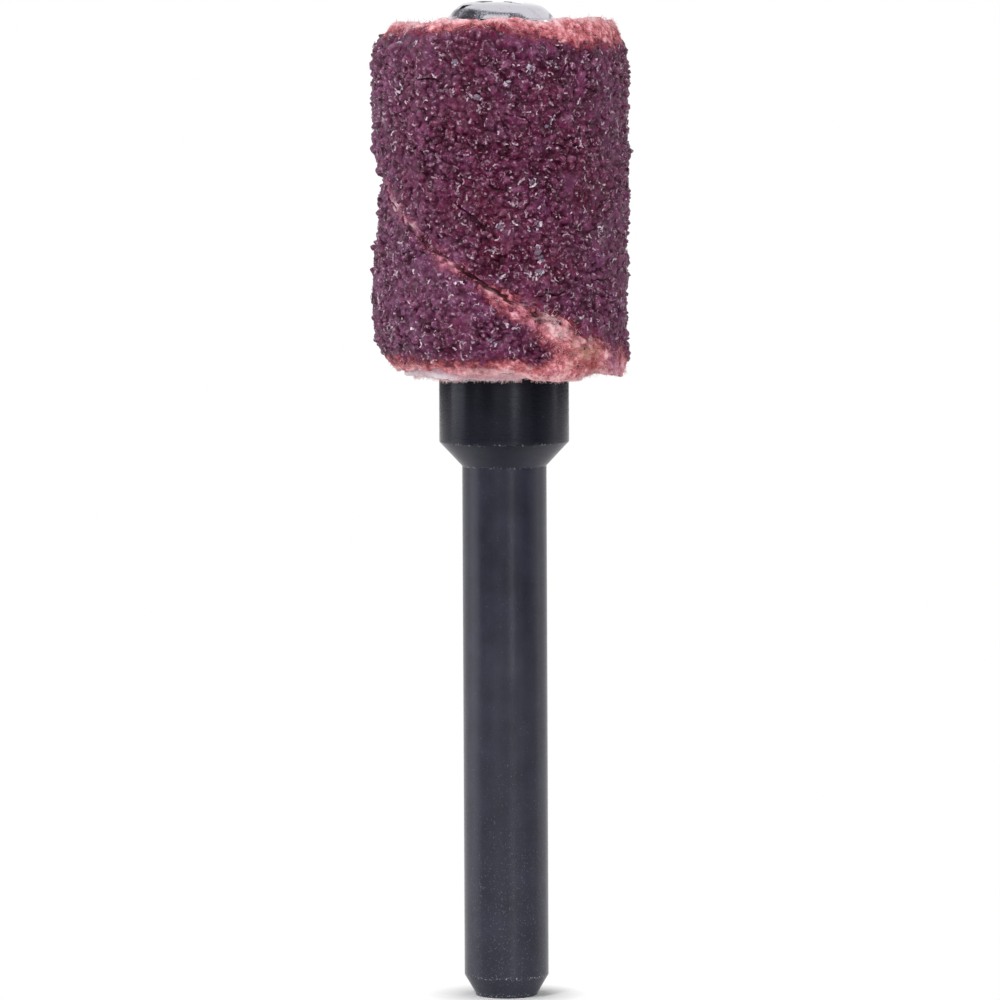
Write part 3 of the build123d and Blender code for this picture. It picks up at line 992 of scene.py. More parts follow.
def bright_plating(colours):
    """Bright plated screw, lightly scuffed, with a speckled dark ring round its shoulder that is a painted
    reflection.
    """
    look = Finish("bright_plating")
    scuffs = look.between(look.noise(0.35, 5, 0.7), 0.52, 0.75)
    tint = look.mix(scuffs, colours.plating, shaded(colours.plating, 0.78))
    speckle = look.between(look.noise(0.055, 3, 0.75), 0.37, 0.52)
    # Painted reflection: a speckled dark ring on the shoulder stands for dark things mirrored in the plating.
    tarnish = look.attribute("tarnish", speckle)
    rough = look.between(look.noise(0.2, 4, 0.6), 0.35, 0.75, 0.05, 0.15)
    look.set(
        Base_Color=look.mix(tarnish, tint, (0.07, 0.064, 0.092)), Metallic=1.0,
        Roughness=look.plus(rough, look.times(tarnish, 0.25)),
        Normal=look.bump(look.noise(0.25, 4, 0.6), 0.004),
    )
    return look.material


def zinc_plate(colours):
    """Dull zinc on the washer, with the marks of its punching."""
    look = Finish("zinc_plate")
    spangle = look.node(
        "ShaderNodeTexVoronoi", {"Vector": look.places(), "Scale": 1 / (0.5 * MM)}, feature="F1"
    ).outputs["Color"]
    flake = look.node("ShaderNodeSeparateColor", {"Color": spangle}).outputs["Red"]
    tint = look.mix(flake, shaded(colours.zinc, 0.86), shaded(colours.zinc, 1.12))
    look.set(
        Base_Color=tint, Metallic=1.0,
        Roughness=look.between(look.noise(0.3, 4), 0.3, 0.7, 0.3, 0.48),
        Normal=look.bump(look.noise(0.15, 4), 0.006),
    )
    return look.material


def drum_rubber(colours):
    """Matte black rubber with a bloom and mould marks."""
    look = Finish("drum_rubber")
    bloom = look.between(look.noise(0.8, 4, 0.6), 0.4, 0.75)
    look.set(
        Base_Color=look.mix(bloom, colours.rubber, shaded(colours.rubber, 2.6)),
        Roughness=look.between(look.noise(0.25, 4), 0.3, 0.7, 0.55, 0.78),
        Normal=look.bump(look.noise(0.09, 4, 0.6), 0.02),
    )
    return look.material


def liner_paper(colours):
    """White paper, fibrous, stained pink by the glue near its edges and along the seam."""
    look = Finish("liner_paper")
    fibres = look.noise(0.1, 4, 0.7, look.stretched(1, 1, 2.2))
    cloudy = look.noise(0.9, 4, 0.6)
    stain = look.attribute("stain")
    stained = look.times(stain, look.between(cloudy, 0.25, 0.5, 0.55, 1), clamp=True)
    pink = look.mix(look.between(fibres, 0.35, 0.7), (0.5, 0.17, 0.24), (0.76, 0.46, 0.52))
    tone = look.mix(look.between(fibres, 0.35, 0.7), shaded(colours.paper, 0.72), colours.paper)
    glue = look.attribute("glue")
    base = look.mix(stained, tone, pink)
    look.set(
        Base_Color=look.mix(glue, base, (0.15, 0.02, 0.03)),
        Roughness=0.92,
        Normal=look.bump(look.noise(0.045, 4, 0.7), 0.02),
    )
    return look.material


def backing_cloth(colours):
    """Coral cloth stiffened with resin, napped where it is bare."""
    look = Finish("backing_cloth")
    clumps = look.noise(0.3, 4, 0.65)
    threads = look.noise(0.06, 3, 0.7, look.stretched(1, 1, 1.6))
    tone = look.plus(look.times(clumps, 0.95), look.times(threads, 0.75))
    tone = look.minus(tone, 0.35)
    tone = look.plus(tone, look.attribute("nap"))
    base = look.ramp(
        tone, (0.26, colours.cloth_deep), (0.4, shaded(colours.cloth, 0.68)), (0.52, colours.cloth),
        (0.66, colours.cloth_pale), (0.84, (0.86, 0.56, 0.58)),
    )
    mauve = look.ramp(
        tone, (0.28, shaded(colours.cloth_mauve, 0.35)), (0.52, colours.cloth_mauve),
        (0.8, (0.68, 0.38, 0.48)),
    )
    mottle = look.between(look.noise(0.12, 3, 0.65), 0.34, 0.56, 0.5, 1)
    base = look.layers(
        base, (look.attribute("mauve"), mauve), (look.attribute("rust", mottle), (0.23, 0.03, 0.024)),
        (look.attribute("olive", mottle), (0.33, 0.165, 0.1)),
        (look.attribute("pale", mottle), (0.84, 0.62, 0.65)),
        (look.attribute("grime", 0.8), (0.12, 0.024, 0.05)),
        # The darkest layer is partly resin soaked into the cloth and partly painted shade in the groove, on
        # the slit's walls and in the holes.
        (look.attribute("soaked"), (0.066, 0.004, 0.014)),
    )
    look.set(
        Base_Color=base, Roughness=0.9, Specular_IOR_Level=0.12, Sheen_Weight=0.07, Sheen_Roughness=0.5,
        Sheen_Tint=(1.0, 0.84, 0.86, 1), Normal=look.bump(look.noise(0.04, 4, 0.7), 0.024),
    )
    return look.material


def frayed_fibre(colours):
    """Loose fibres, from coral to nearly white."""
    look = Finish("frayed_fibre")
    base = look.ramp(
        look.attribute("tone"), (0.0, colours.cloth_deep), (0.35, colours.cloth), (0.7, colours.cloth_pale),
        (1.0, (0.9, 0.78, 0.77)),
    )
    base = look.layers(
        base, (look.attribute("mauve", 0.7), (0.5, 0.25, 0.35)),
        (look.attribute("rust", 0.8), (0.27, 0.038, 0.03)),
        (look.attribute("olive", 0.8), (0.46, 0.25, 0.17)),
    )
    shade = look.between(look.noise(0.12, 3), 0.3, 0.7, 0.8, 1.0)
    look.set(
        Base_Color=look.darkened(base, shade), Roughness=0.8, Sheen_Weight=0.3,
        Normal=look.bump(look.noise(0.03, 3), 0.004),
    )
    return look.material


def resin_grit(colours, name="resin_grit"):
    """Purple-brown grains under a glossy resin, with painted shade between them, painted highlights on their
    edges and in pale specks, dust with a painted sheen at the sides, red flecks and clear grains.
    """
    look = Finish(name)
    fine = look.times(look.noise(0.055, 2, 0.6), 0.9)
    middling = look.times(look.noise(0.2, 2, 0.6), 0.6)
    shade = look.plus(look.attribute("tone", 0.72), look.plus(fine, middling))
    shade = look.minus(shade, 0.57)
    base = look.ramp(
        shade, (0.2, colours.grit_dark_and_shade), (0.5, colours.grit), (0.74, shaded(colours.grit, 1.6)),
        (0.95, colours.grit_pale),
    )
    wine = look.between(look.noise(1.9, 4, 0.6), 0.42, 0.62, 0, 0.72)
    clouds = look.between(look.noise(0.3, 4, 0.65), 0.36, 0.62, 0.25, 0.85)
    lilac = look.between(look.noise(0.95, 3, 0.6), 0.5, 0.68, 0, 0.6)
    deep = look.between(look.noise(0.62, 3, 0.6), 0.53, 0.66, 0, 0.75)
    # Painted highlights: pale specks, strewn in patches, stand for glints off the grains.
    specks = look.between(look.noise(0.105, 2, 0.5), 0.585, 0.67, 0, 0.75)
    strewn = look.between(look.noise(0.9, 3, 0.6), 0.42, 0.6, 0.1, 1)
    flecks = look.between(look.noise(0.28, 1, 0.3), 0.77, 0.8, 0, 0.5)
    broken = look.between(look.noise(0.13, 2, 0.6), 0.54, 0.62)
    patches = look.between(look.noise(0.16, 3, 0.6), 0.4, 0.6)
    base = look.layers(
        # The dust layer pales the coat with dust and with a painted sheen at the sides.
        base, (wine, colours.grit_wine), (look.attribute("dust", clouds), (0.208, 0.069, 0.154)),
        (lilac, (0.14, 0.042, 0.116)), (deep, colours.grit_dark_and_shade),
        (look.times(specks, strewn), (0.4, 0.19, 0.3)), (flecks, (0.3, 0.012, 0.025)),
        # Painted highlight: the grains' sharp edges are paled, broken up by noise.
        (look.times(look.attribute("ridge", broken), 0.55), colours.grit_glint),
        (look.attribute("clear"), colours.glass),
        # Painted shade: the hollows and cracks between the grains are darkened.
        (look.between(look.attribute("cavity"), 0.44, 0.84, 0, 0.94), colours.grit_dark_and_shade),
        (look.attribute("fringe", patches), (0.24, 0.03, 0.045)),
    )
    rough = look.bump(look.noise(0.05, 2, 0.6), 0.01)
    faceted = look.bump(look.facets(0.11), 0.09, 1, rough)
    look.set(
        Base_Color=base,
        Roughness=look.between(look.noise(0.14, 3), 0.3, 0.7, 0.4, 0.6),
        Specular_IOR_Level=0.05, Coat_Weight=0.38, Coat_Roughness=0.09, Coat_IOR=1.5,
        Normal=faceted, Coat_Normal=faceted,
    )
    return look.material


def painted_glint_resin(colours):
    """Painted highlights on the slivers, from pink-grey to nearly white, some of them clear and bluish."""
    look = Finish("painted_glint_resin")
    base = look.ramp(
        look.attribute("tone"), (0.0, (0.15, 0.05, 0.09)), (0.45, (0.36, 0.17, 0.26)),
        (1.0, colours.grit_glint),
    )
    base = look.mix(look.attribute("clear"), base, (0.64, 0.57, 0.7))
    cloudy = look.between(look.noise(0.06, 2, 0.6), 0.38, 0.62, 0.3, 1.0)
    look.set(
        Base_Color=look.darkened(base, cloudy), Roughness=0.35,
        Normal=look.bump(look.noise(0.04, 2, 0.6), 0.004),
    )
    return look.material


# Operators


class SANDING_OT_mandrel(bpy.types.Operator):
    """Turns the mandrel: shank, neck, collar and hollow spigot"""

    bl_idname = "sanding.mandrel"
    bl_label = "Mandrel"

    EDGE = 0.05 * MM
    DRILL_POINT = 0.33 * MM
    SHANK_RINGS = (6 * MM, 13 * MM)

    def execute(self, context):
        sizes, colours = context.scene.mandrel_sizes, context.scene.finish_colours
        across = (sizes.shank, sizes.tip, sizes.collar, sizes.spigot, sizes.tapped_hole)
        shank, tip, collar, spigot, hole = (value / 2 for value in across)
        crest, edge = sizes.spigot_top, self.EDGE
        profile = [(tip - edge, 0), (tip, edge), (tip, sizes.tip_land), (shank, sizes.tip_height)]
        profile += [(shank, height) for height in self.SHANK_RINGS]
        profile += [
            (shank, sizes.neck_low), (collar, sizes.neck_high), (collar, sizes.collar_top),
            (spigot, sizes.collar_top), (spigot, crest), (hole + edge, crest), (hole, crest - edge),
            (hole, sizes.hole_bottom), (edge, sizes.hole_bottom - self.DRILL_POINT),
        ]
        bar = turned("mandrel_bar", profile, segments=192)
        ease_edges(bar, 0.035 * MM)
        smooth(bar, 35)
        finish(bar, "mandrel_bar", blackened_steel(colours, sizes), "mandrel", "mandrel")
        return {"FINISHED"}


class SANDING_OT_drum(bpy.types.Operator):
    """Moulds the rubber drum, squeezed up round the washer"""

    bl_idname = "sanding.drum"
    bl_label = "Rubber drum"

    RINGS = 24

    # Millimetres in and up from the outer lower edge, in and down from the upper, out and up round the washer
    FOOT = ((0.32, 0), (0.08, 0.18))
    CROWN = ((0.02, 1.0), (0.12, 0.5), (0.3, 0.05))
    SQUEEZED = ((0.22, 0.14), (0.06, 0.1))

    def execute(self, context):
        sizes = context.scene.mandrel_sizes
        outer, bore, low, high = sizes.drum / 2, sizes.drum_bore / 2, sizes.collar_top, sizes.drum_top
        wall = np.linspace(low + 0.5 * MM, high - 1.5 * MM, self.RINGS)
        bore_wall = np.linspace(high - 0.4 * MM, low + 0.4 * MM, self.RINGS)
        profile = [(bore, low), (sizes.collar / 2, low), (sizes.collar / 2 + 0.5 * MM, low - 0.06 * MM)]
        profile += [(outer - inward * MM, low + up * MM) for inward, up in self.FOOT]
        profile += [(outer, float(height)) for height in wall]
        profile += [(outer - inward * MM, high - down * MM) for inward, down in self.CROWN]
        profile += [(sizes.washer / 2 + outward * MM, high + up * MM) for outward, up in self.SQUEEZED]
        profile += [(sizes.washer / 2, high), (bore, high)]
        profile += [(bore, float(height)) for height in bore_wall]
        profile += [(bore, low)]
        drum = turned("drum", profile, segments=96, ring=True)
        smooth(drum, 50)
        finish(drum, "drum", drum_rubber(context.scene.finish_colours), node="rubber_drum")
        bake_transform(drum)
        return {"FINISHED"}


class SANDING_OT_washer(bpy.types.Operator):
    """Punches the washer, domed on its upper edge and sharp below"""

    bl_idname = "sanding.washer"
    bl_label = "Washer"

    def execute(self, context):
        sizes = context.scene.mandrel_sizes
        outer, bore, low, high = sizes.washer / 2, sizes.washer_hole / 2, sizes.drum_top, sizes.washer_top
        burr, edge, dome, mouth = 0.03 * MM, 0.05 * MM, 0.18 * MM, 0.08 * MM
        profile = [
            (bore, low + burr), (bore + burr, low), (outer - edge, low), (outer, low + edge),
            (outer, high - 0.16 * MM), (outer - edge, high - edge), (outer - dome, high),
            (bore + mouth, high), (bore, high - mouth), (bore, low + burr),
        ]
        washer = turned("washer_plate", profile, ring=True)
        ease_edges(washer, 0.02 * MM, segments=2)
        smooth(washer, 35)
        material = zinc_plate(context.scene.finish_colours)
        finish(washer, "washer_plate", material, "washer", "top_washer")
        return {"FINISHED"}


class SANDING_OT_screw(bpy.types.Operator):
    """Makes the clamp screw: pan head, cross recess and rolled thread"""

    bl_idname = "sanding.screw"
    bl_label = "Clamp screw"

    LEAN = 0.036
    RECESS_TURNS = (38, 128)
    RECESS_TAPER = (0.55, 0.62)
    OVERSHOOT = 0.1 * MM
    THREAD_DEPTH = 0.17 * MM
    RINGS_A_TURN = 10
    RING_FADE = 0.03

    # Millimetres in from the head's rim, and down from its crown
    SHOULDER = [(0.0, 0.84), (0.03, 0.72), (0.09, 0.62), (0.22, 0.48), (0.31, 0.375), (0.4, 0.285),
                (0.51, 0.19), (0.63, 0.124), (0.74, 0.09), (0.85, 0.066), (1.0, 0.04), (1.15, 0.024),
                (1.3, 0.012)]

    # Radius in millimetres where the ring of painted dark reflection starts and ends, going round
    RING_INNER = [(-180, 1.78), (-130, 1.74), (-90, 1.8), (-62, 1.73), (-45, 1.71), (-30, 1.73), (-20, 1.77),
                  (0, 1.79), (12, 1.79), (22, 1.83), (30, 1.98), (60, 1.99), (75, 1.8), (120, 1.76)]
    RING_OUTER = [(-180, 1.86), (-130, 1.92), (-90, 1.86), (-62, 2.04), (-24, 2.04), (-19, 1.87), (6, 1.87),
                  (9, 2.04), (24, 2.04), (30, 1.99), (60, 2.00), (75, 1.9), (120, 1.84)]

    def recess(self, sizes, turn):
        """One arm of the recess, narrower at its bottom."""
        clear_selection()
        middle = sizes.head_top - sizes.recess_depth / 2 + self.OVERSHOOT
        bpy.ops.mesh.primitive_cube_add(size=1, location=(0, 0, middle), rotation=(0, 0, turn))
        arm = bpy.context.object
        edit("DESELECT")
        leave_edit()
        for face in arm.data.polygons:
            face.select = face.normal.z < -0.5
        bpy.ops.object.mode_set(mode="EDIT")
        bpy.ops.transform.resize(
            value=(*self.RECESS_TAPER, 1), center_override=(0, 0, middle - 0.5), orient_type="GLOBAL"
        )
        leave_edit()
        reach = (sizes.recess_span, sizes.recess_width, sizes.recess_depth + 2 * self.OVERSHOOT)
        move_points(arm, points_of(arm) * reach)
        activate(arm)
        bpy.ops.object.transform_apply(location=True, rotation=True, scale=True)
        return arm

    def thread(self, sizes):
        """The threaded shank: rings drawn in and out along a right-hand helix."""
        pitch, outer = sizes.thread_pitch, sizes.thread / 2
        low, high = sizes.screw_point, sizes.washer_top
        levels = np.arange(low + 0.3 * MM, high - 0.3 * MM, pitch / self.RINGS_A_TURN)
        profile = [(outer - 2 * self.THREAD_DEPTH, low)]
        profile += [(outer, float(level)) for level in levels]
        profile += [(outer, high + 0.2 * MM)]
        shank = turned("thread", profile, segments=40)
        places = points_of(shank)
        phase = places[:, 2] / pitch - np.arctan2(places[:, 1], places[:, 0]) / TURN
        groove = np.abs(2 * (phase % 1) - 1)
        inside = eased(places[:, 2], low + 0.15 * MM, low + 0.4 * MM)
        inside = inside * near(places[:, 2], high - 0.5 * MM, high - 0.9 * MM)
        places[:, :2] *= (1 - self.THREAD_DEPTH / outer * groove * inside)[:, None]
        move_points(shank, places)
        smooth(shank, 50)
        return shank

    def execute(self, context):
        sizes = context.scene.mandrel_sizes
        outer, low, high = sizes.head / 2, sizes.washer_top, sizes.head_top
        profile = [(0.4 * MM, low), (outer - 0.07 * MM, low)]
        profile += [(outer, low + 0.09 * MM), (outer, high - 0.86 * MM)]
        shoulder = np.array(self.SHOULDER)
        for inward in np.linspace(0.02, 1.3, 26):
            drop = np.interp(inward, shoulder[:, 0], shoulder[:, 1])
            profile.append((outer - inward * MM, high - float(drop) * MM))
        profile += [(0.3 * MM, high - 0.001 * MM), (0.05 * MM, high)]
        head = turned("clamp_screw_head", profile)
        for turn in self.RECESS_TURNS:
            arm = self.recess(sizes, math.radians(turn))
            apply_modifier(head, "Recess", "BOOLEAN", operation="DIFFERENCE", object=arm, solver="EXACT")
            discard(arm)
        ease_edges(head, 0.03 * MM, degrees=32, segments=2)
        smooth(head, 35)
        shank = self.thread(sizes)
        apply_modifier(head, "Shank", "BOOLEAN", operation="UNION", object=shank, solver="EXACT")
        discard(shank)
        places = points_of(head)
        degrees = np.degrees(np.arctan2(places[:, 0], -places[:, 1]))
        away = np.hypot(places[:, 0], places[:, 1]) / MM
        # The ring of painted dark reflection round the shoulder, kept near the crown.
        ring = eased(away - along(degrees, self.RING_INNER), -self.RING_FADE, self.RING_FADE)
        ring = ring * eased(along(degrees, self.RING_OUTER) - away, -self.RING_FADE, self.RING_FADE)
        store(head, tarnish=ring * (places[:, 2] > high - 0.9 * MM))
        places[:, 2] -= self.LEAN * places[:, 0] * eased(places[:, 2], low, high - 0.8 * MM)
        move_points(head, places)
        smooth(head, 35)
        material = bright_plating(context.scene.finish_colours)
        finish(head, "clamp_screw_body", material, "screw", "clamp_screw")
        return {"FINISHED"}


class SANDING_OT_liner(bpy.types.Operator):
    """Winds the paper liner that shows under the cloth"""

    bl_idname = "sanding.liner"
    bl_label = "Liner"

    SLIT = 0.1
    CELLS, BACK_CELLS = (260, 26), (260, 8)

    LOW_EDGE = [(-180, 0.0), (-90, 0.0), (-62, -0.12), (-36, -0.21), (-14, -0.03), (0, -0.06), (7, -0.02),
                (13, 0.14), (20, 0.3), (60, 0.3), (90, 0.05)]

    def execute(self, context):
        sizes, wound = context.scene.band_sizes, winding()
        low, high = sizes.liner_low / MM, sizes.liner_high / MM
        face = sizes.liner_face / MM
        width = wound.round - self.SLIT
        sheet = lay_sheet("liner", width, high - low, self.CELLS, self.BACK_CELLS, depth=1, through=3)
        refine(sheet, lambda places: (places[:, 1] < 0.5) & (places[:, 2] > -0.1), cuts=3)
        flat = points_of(sheet)
        height = low + flat[:, 1]
        angle = wound.seam_angle(height) + math.pi + (self.SLIT / 2 + flat[:, 0]) / wound.mean_radius
        spot = wound.flat(angle, height)
        to_edge = np.minimum(flat[:, 1], high - low - flat[:, 1])
        ragged = 0.07 * layered_noise(spot, 0.5, 41) * near(to_edge, 0.5)
        height = height + ragged + along(np.degrees(angle), self.LOW_EDGE) * near(flat[:, 1], 1.6)
        above = np.where(flat[:, 2] > -0.5, 0.0, -sizes.liner_wall / MM)
        above = above * (1 - 0.45 * near(to_edge, 0.25))
        above = above + 0.012 * layered_noise(spot, 0.3, 43, 3)
        move_points(sheet, wound.place(angle, height, above, face) * MM)
        above_seam, below_seam = wound.from_seam(angle, height)
        degrees = np.degrees((angle + math.pi) % TURN - math.pi)
        stain = np.maximum(0.75 * eased(degrees, -40, -18), 0.9 * eased(flat[:, 1], 0.05, 0.3))
        stain = stain * (np.abs(degrees) < 100) + 0.3 * (np.abs(degrees) >= 100)
        glue = 1 - eased(np.minimum(above_seam, below_seam), 0.15, 0.45)
        store(sheet, stain=stain, glue=glue * (flat[:, 2] > -0.5) * 0.9)
        smooth(sheet, 60)
        material = liner_paper(context.scene.finish_colours)
        finish(sheet, "liner_tube", material, "mandrel", "band_liner")
        return {"FINISHED"}


class SANDING_OT_cloth(bpy.types.Operator):
    """Winds the cloth strip along the seam, with ragged rims and a slit"""

    bl_idname = "sanding.cloth"
    bl_label = "Cloth"

    CELLS, BACK_CELLS = (170, 74), (170, 12)
    SEAM_REACH = 0.7
    GROOVE_REACH, GROOVE_DEPTH, HOLE_DEPTH = 0.12, 0.14, 0.26

    def execute(self, context):
        sizes, wound = context.scene.band_sizes, winding()
        tall = wound.high - wound.low
        sheet = lay_sheet("cloth", wound.round, tall, self.CELLS, self.BACK_CELLS, depth=1, through=4)

        def angle_of(places):
            return wound.seam_angle(wound.low + places[:, 1]) + places[:, 0] / wound.mean_radius

        def bare(places):
            away = wound.cover(angle_of(places), wound.low + places[:, 1])
            return (away < 0.12) & (places[:, 2] > -0.6)

        refine(sheet, bare, cuts=3)
        flat = points_of(sheet)
        height = wound.low + flat[:, 1]
        angle = angle_of(flat)
        spot = wound.flat(angle, height)
        degrees = np.degrees(angle)
        ragged = layered_noise(spot, 0.55, 51, 4, 0.75)
        torn = layered_noise(spot, 0.32, 85, 2, 0.6)
        meander = 0.08 * layered_noise(spot, 0.45, 83, 4, 0.8) / wound.across
        from_start, from_end = flat[:, 0], wound.round - flat[:, 0]
        opening = along(degrees, wound.OPEN)
        gap = 0.5 * wound.slit * np.maximum(opening * (0.8 + 2.2 * torn * (opening > 0)), -0.9) / wound.across
        lap = near(from_start, 0.5) * 0.01 - near(from_end, 0.5) * 0.01
        lap = eased(-opening, 0, 0.6) * lap
        at_start, at_end = near(from_start, self.SEAM_REACH), near(from_end, self.SEAM_REACH)
        shift = gap * (at_start - at_end)
        shift = shift + meander * (at_start + at_end)
        angle = angle + shift / wound.mean_radius
        to_low, to_high = flat[:, 1], tall - flat[:, 1]
        height = height + 0.05 * ragged * near(to_high, 0.6) + 0.1 * ragged * near(to_low, 0.6)
        outside = eased(flat[:, 2], -1, 0)
        to_rim = np.minimum(to_low, to_high)
        to_seam = np.minimum(from_start, from_end) * wound.across
        is_open = eased(opening, -0.1, 0.4)
        groove = near(to_seam, self.GROOVE_REACH * (1 + 0.5 * ragged + 0.5 * torn), 0.015) * is_open
        groove = groove * (0.3 + 0.7 * eased(torn, -0.5, 0.2))
        thin = 0.35 * near(to_rim, 0.3)
        clumps = layered_noise(spot, 0.42, 53, 3, 0.6)
        threads = layered_noise(spot, 0.11, 57, 2, 0.6)
        nap = 0.042 * clumps + 0.034 * threads
        hollow = self.GROOVE_DEPTH * groove * (1 + 0.7 * threads)
        hollow = hollow + self.HOLE_DEPTH * wound.blots(angle, height, wound.HOLES)
        above = -sizes.cloth_wall / MM * (1 - outside) + outside * (nap - 0.22 * thin - hollow) + lap
        cover = wound.cover(angle, height)
        above = above + 0.05 * outside * near(cover, 0.1, -0.15) - 0.03 * outside * eased(cover, 0.1, 0.3)
        move_points(sheet, wound.place(angle, height, above) * MM)
        worn = near(wound.worn_patch(degrees, height), 0, -0.3)
        edge_pale = 0.24 * near(to_rim, 0.26) + 0.07 * near(to_seam, 0.3)
        beside = eased(cover, -0.75, -0.05)
        store(sheet, nap=0.015 + 0.16 * clumps + 0.16 * threads + edge_pale - 0.1 * beside + 0.01 * worn)
        speck = layered_noise(spot, 0.16, 59, 2)
        grime = eased(cover + 0.25 * speck, -0.32, 0.03)
        store(sheet, grime=grime * (0.3 + 0.7 * eased(speck, -0.2, 0.4)))
        # Darkest where the slit opens, in the groove and in the holes: partly resin soaked into the cloth,
        # partly painted shade in these hollows.
        soaked = np.maximum((1 - outside) * (to_seam < 0.3) * is_open, 0.9 * eased(groove, 0.25, 0.8))
        soaked = soaked * eased(to_rim, 0.1, 0.5)
        soaked = np.maximum(soaked, wound.blots(angle, height, wound.HOLES))
        store(sheet, soaked=soaked, mauve=wound.stained(angle, height))
        for tint, spots in wound.TINTS.items():
            store(sheet, **{tint: wound.blots(angle + 0.03 * ragged, height + 0.06 * clumps, spots)})
        smooth(sheet, 60)
        material = backing_cloth(context.scene.finish_colours)
        finish(sheet, "cloth_tube", material, "mandrel", "band_cloth")
        return {"FINISHED"}


class SANDING_OT_grit(bpy.types.Operator):
    """Lays the grit coat over the cloth in three sheets that meet edge to edge"""

    bl_idname = "sanding.grit"
    bl_label = "Grit coat"

    PARTS = "abc"
    CELLS, BACK_CELLS = (204, 374), (40, 50)
    SEAM_MARGIN, LOW_MARGIN, HIGH_MARGIN = 0.16, 0.1, 0.25
    BACK_DEPTH = 0.2

    def execute(self, context):
        wound, coat = winding(), grains()
        material = resin_grit(context.scene.finish_colours)
        low, high = wound.low + self.LOW_MARGIN, wound.high - self.HIGH_MARGIN
        width = (wound.round - 2 * self.SEAM_MARGIN) / len(self.PARTS)
        for part, letter in enumerate(self.PARTS):
            sheet = lay_sheet("coat_" + letter, width, high - low, self.CELLS, self.BACK_CELLS, depth=1)
            flat = points_of(sheet)
            height = low + flat[:, 1]
            from_seam = self.SEAM_MARGIN + part * width + flat[:, 0]
            angle = wound.seam_angle(height) + from_seam / wound.mean_radius
            above = np.where(flat[:, 2] > -0.5, coat.read(coat.relief, angle, height), -self.BACK_DEPTH)
            move_points(sheet, wound.place(angle, height, above) * MM)
            owner = coat.read(coat.owner, angle, height, nearest=True)
            # Per vertex: the grain's tone, clear grains, dust with a painted sheen at the sides, painted
            # shade for the hollows and painted highlights for the sharp edges.
            store(
                sheet, tone=coat.tone[owner], clear=0.8 * coat.clear[owner], dust=wound.dust_and_side_sheen(angle, height),
                cavity=coat.read(coat.cavity, angle, height), ridge=coat.read(coat.ridge, angle, height),
            )
            redder = 1 - 0.8 * wound.stained(angle, height)
            store(sheet, fringe=redder * near(wound.cover(angle, height), 0.3, -0.02))
            smooth(sheet, 38)
            activate(sheet)
            edit()
            bpy.ops.mesh.quads_convert_to_tris(quad_method="SHORTEST_DIAGONAL")
            leave_edit()
            finish(sheet, "grit_coat_" + letter, material, "mandrel", "band_grit")
        return {"FINISHED"}


class SANDING_OT_crystals(bpy.types.Operator):
    """Sets separate sharp crystals in the coat, some of them clear"""

    bl_idname = "sanding.crystals"
    bl_label = "Crystals"

    SEED = 29
    KINDS = 5
    STREWN = 1200
    AT_EACH_SPOT = 3

    # Degrees and height of the clear crystals that the photo shows
    CLEAR_SPOTS = [(12.4, 35.0), (23.5, 35.2), (2.4, 34.6), (22.6, 33.0), (13.5, 30.9), (-1.9, 29.3),
                   (15.8, 29.3), (15.7, 28.4), (15.7, 27.5), (-4.8, 28.4), (-5.0, 24.95), (-11.5, 34.1),
                   (-21.4, 35.3), (16.3, 28.0)]

    def prototype(self, rng):
        """One crystal, cut from a ball by flat facets."""
        clear_selection()
        bpy.ops.mesh.primitive_ico_sphere_add(subdivisions=1, radius=1, location=(0, 0, 0))
        crystal = bpy.context.object
        bpy.ops.object.mode_set(mode="EDIT")
        for _ in range(3):
            normal = Vector(rng.normal(size=3)).normalized()
            bpy.ops.mesh.select_all(action="SELECT")
            bpy.ops.mesh.bisect(
                plane_co=normal * rng.uniform(0.45, 0.7), plane_no=normal, use_fill=True, clear_outer=True
            )
        leave_edit()
        return crystal

    def execute(self, context):
        wound, coat = winding(), grains()
        rng = np.random.default_rng(self.SEED)
        prototypes = [self.prototype(rng) for _ in range(self.KINDS)]
        angle = rng.uniform(0, TURN, self.STREWN)
        height = rng.uniform(wound.low + 0.3, wound.high - 0.4, self.STREWN)
        spots = np.array([
            (math.radians(spot[0] + rng.normal(0, 0.9)), spot[1] + rng.normal(0, 0.1))
            for spot in self.CLEAR_SPOTS for _ in range(self.AT_EACH_SPOT)
        ])
        clear = np.concatenate([rng.uniform(size=self.STREWN) < 0.002, np.ones(len(spots), dtype=bool)])
        angle = np.concatenate([angle, spots[:, 0]])
        height = np.concatenate([height, spots[:, 1]])
        cover = wound.cover(angle, height)
        chance = rng.uniform(size=len(angle))
        kept = (cover > 0.02) | ((cover > -0.35) & (chance < 0.25))
        angle, height, clear = angle[kept], height[kept], clear[kept]
        count = len(angle)
        size = np.clip(rng.lognormal(-2.65, 0.32, count), 0.035, 0.13)
        sunk = coat.read(coat.relief, angle, height) + size * rng.uniform(-0.55, 0.25, count)
        places = wound.place(angle, height, sunk)
        scales = size[:, None] * rng.uniform(0.65, 1.35, (count, 3))
        kinds = rng.integers(0, len(prototypes), count)
        turns = random_turns(rng, count)
        piece, owner = scatter("crystals", prototypes, places, turns, scales, kinds)
        tone = np.clip(rng.normal(0.55, 0.22, count), 0, 1)
        fringe = 0.7 * near(wound.cover(angle, height), 0.25, -0.05)
        # Each crystal gets a little painted hollow shade, dust with a painted sheen, and a quarter of them a
        # painted edge highlight.
        store(
            piece, tone=tone[owner], cavity=np.full(len(owner), 0.3),
            ridge=0.8 * (rng.uniform(size=len(owner)) < 0.25), fringe=fringe[owner],
            clear=(0.8 * clear)[owner], dust=0.7 * wound.dust_and_side_sheen(angle, height)[owner],
        )
        material = resin_grit(context.scene.finish_colours, "crystal_grit")
        finish(piece, "grit_crystals", material, "mandrel", "band_grit")
        return {"FINISHED"}


